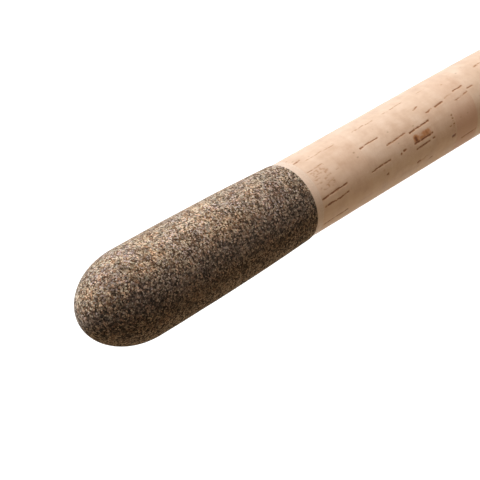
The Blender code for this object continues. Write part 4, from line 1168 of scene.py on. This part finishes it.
def band(radius, wall, width, y, z, steps=112):
    corners = sleeve(-width / 2, width / 2, radius, radius - wall)
    outline = rounded(corners, min(wall, width) * 0.45, 6)
    return skin(turned_rows(outline, steps, z, y), closed=True)


def insert(radius, wall, width, y, z, steps=128):
    """A ceramic ring with a rounded section inside a band."""
    turn = angles(28, -math.pi / 2)
    outline = np.stack([width / 2 * np.sin(turn), radius - wall / 2 * (1 - np.cos(turn))], axis=1)
    return skin(turned_rows(outline, steps, z, y), closed=True)


def foot_plate(y, near, far, rise, width, thickness):
    """A foot of rounded rectangular section, ground to a thin round tip, from its root at near."""
    share = np.linspace(0, 1, 30)[:, None]
    if far < near:
        share = share[::-1]
    turn = angles(24)[None, :]
    across, upright = (np.sign(wave) * np.abs(wave) ** 0.5 for wave in (np.sin(turn), np.cos(turn)))
    half = width / 2 * np.sqrt(np.clip(1 - np.maximum(0, (share - 0.86) / 0.14) ** 2, 0.02, 1))
    thick = thickness * (1 - (1 - FOOT_TIP_SHARE) * share)
    stations = y + near + (far - near) * share + 0 * turn
    return skin(np.stack([half * across, stations, -rise - thick / 2 * (1 - upright)], axis=-1))


def leg(start, control, landing, foot_end, wire, thin):
    """A leg from the ring to the foot, ground down along it."""
    path = bezier(start, control, landing)
    tail = np.linspace(landing, foot_end, 8)[1:]
    radii = np.concatenate([np.full(len(path), wire / 2), np.linspace(wire / 2, thin, 8)[1:]])
    return rod_along(np.concatenate([path, tail]), radii)


def build_guide(number):
    """A guide on two feet: twin legs to the rear foot, and one brace to the front foot."""
    name = f"guide_{number}_frame"
    radius = widest(name)
    ring = radius * 2
    _, y, z = centre(f"guide_{number}_ring")
    radius_at = butt_radius if number == 1 else tip_radius
    wire = sized(GUIDE_WIRE, ring)
    width = sized(FOOT_WIDTH, ring)
    thickness = sized(FOOT_THICKNESS, ring)
    hold = radius + wire / 2 - BAND_WALL / 2
    skins = [band(radius, BAND_WALL, BAND_WIDTH, y, z)]
    feet = []
    for direction in (-1, 1):
        far = direction * sized(GUIDE_SPAN, ring) / 2
        near = far * 2 * GUIDE_ROOT_SHARE
        feet.append((near, far))
        rise = foot_rise(radius_at, y + min(near, far))
        skins.append(foot_plate(y, near, far, rise, width, thickness))
        level = -rise - wire / 2
        starts = [(-hold, z), (hold, z)] if direction < 0 else [(0.0, z + hold)]
        for x, start_z in starts:
            across = x / hold * (width - wire) / 2
            landing = (across, y + near + direction * wire, level)
            control = (x * LEG_SPREAD_SHARE, y + near * LEG_REACH_SHARE, level - wire)
            foot_end = (across * 0.6, y + near + (far - near) * 0.45, -rise - thickness * 0.4)
            skins.append(leg((x, y, start_z), control, landing, foot_end, wire, thickness * 0.3))
    piece(name, skins)
    seat = radius - BAND_WALL - INSERT_CLEARANCE
    ring_skin = insert(seat, sized(INSERT_WALL, ring), INSERT_WIDTH, y, z)
    piece(f"guide_{number}_ring", [ring_skin])
    build_wrap(f"guide_{number}_wrap", y, feet, (width, thickness, FOOT_TIP_SHARE), radius_at)


def build_quiver_guide(number):
    """A ring on two legs down to one foot that faces the tip."""
    name = f"quiver_guide_{number}"
    low, high = box(name)
    radius = high.x
    y = low.y + QUIVER_RING_WIDTH / 2
    z = low.z + radius
    near, far = QUIVER_FOOT
    rise = foot_rise(quiver_radius, y + near)
    skins = [
        band(radius, QUIVER_RING_WALL, QUIVER_RING_WIDTH, y, z, 72),
        foot_plate(y, near, far, rise, QUIVER_FOOT_WIDTH, QUIVER_FOOT_THICKNESS),
    ]
    level = -rise - QUIVER_WIRE / 2
    for side in (-1, 1):
        start = (side * radius * 0.92, y, z + radius * 0.30)
        control = (start[0] * 0.8, y + near * 0.5, level - QUIVER_WIRE)
        landing = (side * QUIVER_WIRE / 3, y + near + QUIVER_WIRE, level)
        foot_end = (0.0, y + near + (far - near) * 0.4, -rise - QUIVER_FOOT_THICKNESS * 0.4)
        skins.append(leg(start, control, landing, foot_end, QUIVER_WIRE, QUIVER_WIRE_END))
    piece(name, skins)
    foot = (QUIVER_FOOT_WIDTH, QUIVER_FOOT_THICKNESS, FOOT_TIP_SHARE)
    build_wrap(f"quiver_wrap_{number}", y, [QUIVER_FOOT], foot, quiver_radius, 72)


def build_tip_ring():
    rear = span("tip_ring_frame")[0]
    radius = widest("tip_ring_frame")
    _, front, z = centre("tip_ring")
    bore = quiver_radius(quiver_front) + TIP_TUBE_CLEARANCE
    outer = bore + TIP_TUBE_WALL
    section = rounded(sleeve(rear, front, outer, bore), TIP_TUBE_EDGE)
    skins = [
        skin(turned_rows(section, 48), closed=True),
        band(radius, TIP_RING_WALL, TIP_RING_WIDTH, front, z, 72),
    ]
    length = front - rear
    for side in (-1, 1):
        start = (side * radius * 0.95, front, z + radius * 0.1)
        control = (side * radius * 0.8, rear + length * 0.6, -outer * 1.6)
        landing = (side * outer * 0.5, rear + length * 0.25, -outer * 0.8)
        skins.append(rod_along(bezier(start, control, landing), QUIVER_WIRE / 2))
    piece("tip_ring_frame", skins)
    seat = radius - TIP_RING_WALL - INSERT_CLEARANCE
    piece("tip_ring", [insert(seat, TIP_INSERT_WALL, TIP_RING_WIDTH, front, z, 72)])


def build_hook_keeper():
    """A wire bent to a loop for the hook, its ends under thread."""
    rear, front = span("hook_keeper")
    y = (rear + front) / 2
    half = KEEPER_LOOP[0] / 2
    level = box("hook_keeper")[1].z - KEEPER_WIRE / 2
    turn = np.linspace(0, math.pi, 41)
    loop = y - half * np.cos(turn)
    before = np.linspace(rear, y - half - KEEPER_BEND, 8)
    after = np.linspace(y + half + KEEPER_BEND, front, 8)
    drop = np.concatenate([0 * before, KEEPER_LOOP[1] * np.sin(turn) ** 1.15, 0 * after])
    along = np.concatenate([before, loop, after])
    path = np.stack([0 * along, along, level - drop], axis=-1)
    piece("hook_keeper", [rod_along(path, KEEPER_WIRE / 2, 20)])
    feet = [(-half, rear - y), (half, front - y)]
    build_wrap("keeper_wrap", y, feet, (KEEPER_WIRE, KEEPER_WIRE, 1.0), butt_radius)


build_butt_cap()
build_cork()
build_trim_ring()
build_collars()
build_reel_seat()
build_arbors()
build_hood("fixed_hood", span("reel_seat")[0] + HOOD_LENGTH, -1)
build_hood("sliding_hood", span("sliding_hood")[1] - HOOD_LENGTH, 1)
build_lock_nut()
build_blanks()
build_socket_wrap("socket_wrap")
build_socket_wrap("quiver_socket_wrap")
for number in range(1, 7):
    build_guide(number)
    build_quiver_guide(number)
build_tip_ring()
build_hook_keeper()


# Studio


def build_camera():
    """The camera where the photograph's was. World directions are found as it sees them."""
    along = Vector(ROD_DIRECTION).normalized()
    tilt = math.atan2(-along.y, along.z)
    up = Vector((0.0, -math.cos(tilt), -math.sin(tilt)))
    seen_axes = Matrix((along.cross(up), along, up))
    data = bpy.data.cameras.new("camera")
    data.lens = CAMERA_LENS
    data.sensor_width = CAMERA_SENSOR
    data.clip_start = 0.01
    camera = add_object("camera", data)
    turn = seen_axes @ Matrix.Diagonal((1.0, -1.0, -1.0))
    joint = Vector((0.0, cap_front, 0.0))
    place = joint - seen_axes @ Vector(JOINT_FROM_CAMERA) * MM
    camera.matrix_world = Matrix.Translation(place) @ turn.to_4x4()
    bpy.context.scene.camera = camera


def build_world():
    world = bpy.data.worlds.new("studio")
    world.use_nodes = True
    nodes = Nodes(world.node_tree)
    colour = nodes.mix(nodes.seen_directly(), AMBIENT, WHITE)
    nodes.feed(world.node_tree.nodes["Background"].inputs["Color"], colour)
    bpy.context.scene.world = world


def build_floor():
    s = Shader("floor", Specular_IOR_Level=0.0, Emission_Color=(*WHITE, 1.0))
    seen = s.seen_directly()
    material = s.finish(
        s.mix(seen, FLOOR_BOUNCE, FLOOR_COLOUR), 0.9, Emission_Strength=s.times(seen, FLOOR_GLOW)
    )
    mesh = bpy.data.meshes.new("floor")
    half = FLOOR_SIZE / 2
    corners = [(-half, -half), (half, -half), (half, half), (-half, half)]
    mesh.from_pydata([(x, y + FLOOR_MIDDLE, FLOOR_Z) for x, y in corners], [], [(0, 1, 2, 3)])
    mesh.materials.append(material)
    add_object("floor", mesh)


def build_lamps():
    for name, (strength, colour, softness, angle, tilt) in LAMPS.items():
        data = bpy.data.lights.new(name, "SUN")
        data.energy = strength
        data.color = colour
        data.angle = math.radians(softness)
        turn = math.radians(FACING + angle)
        towards = Vector((math.sin(turn), math.tan(math.radians(tilt)), math.cos(turn)))
        add_object(name, data).rotation_euler = towards.to_track_quat("Z", "Y").to_euler()


build_camera()
build_world()
build_floor()
build_lamps()
bpy.context.scene.view_settings.view_transform = "Standard"
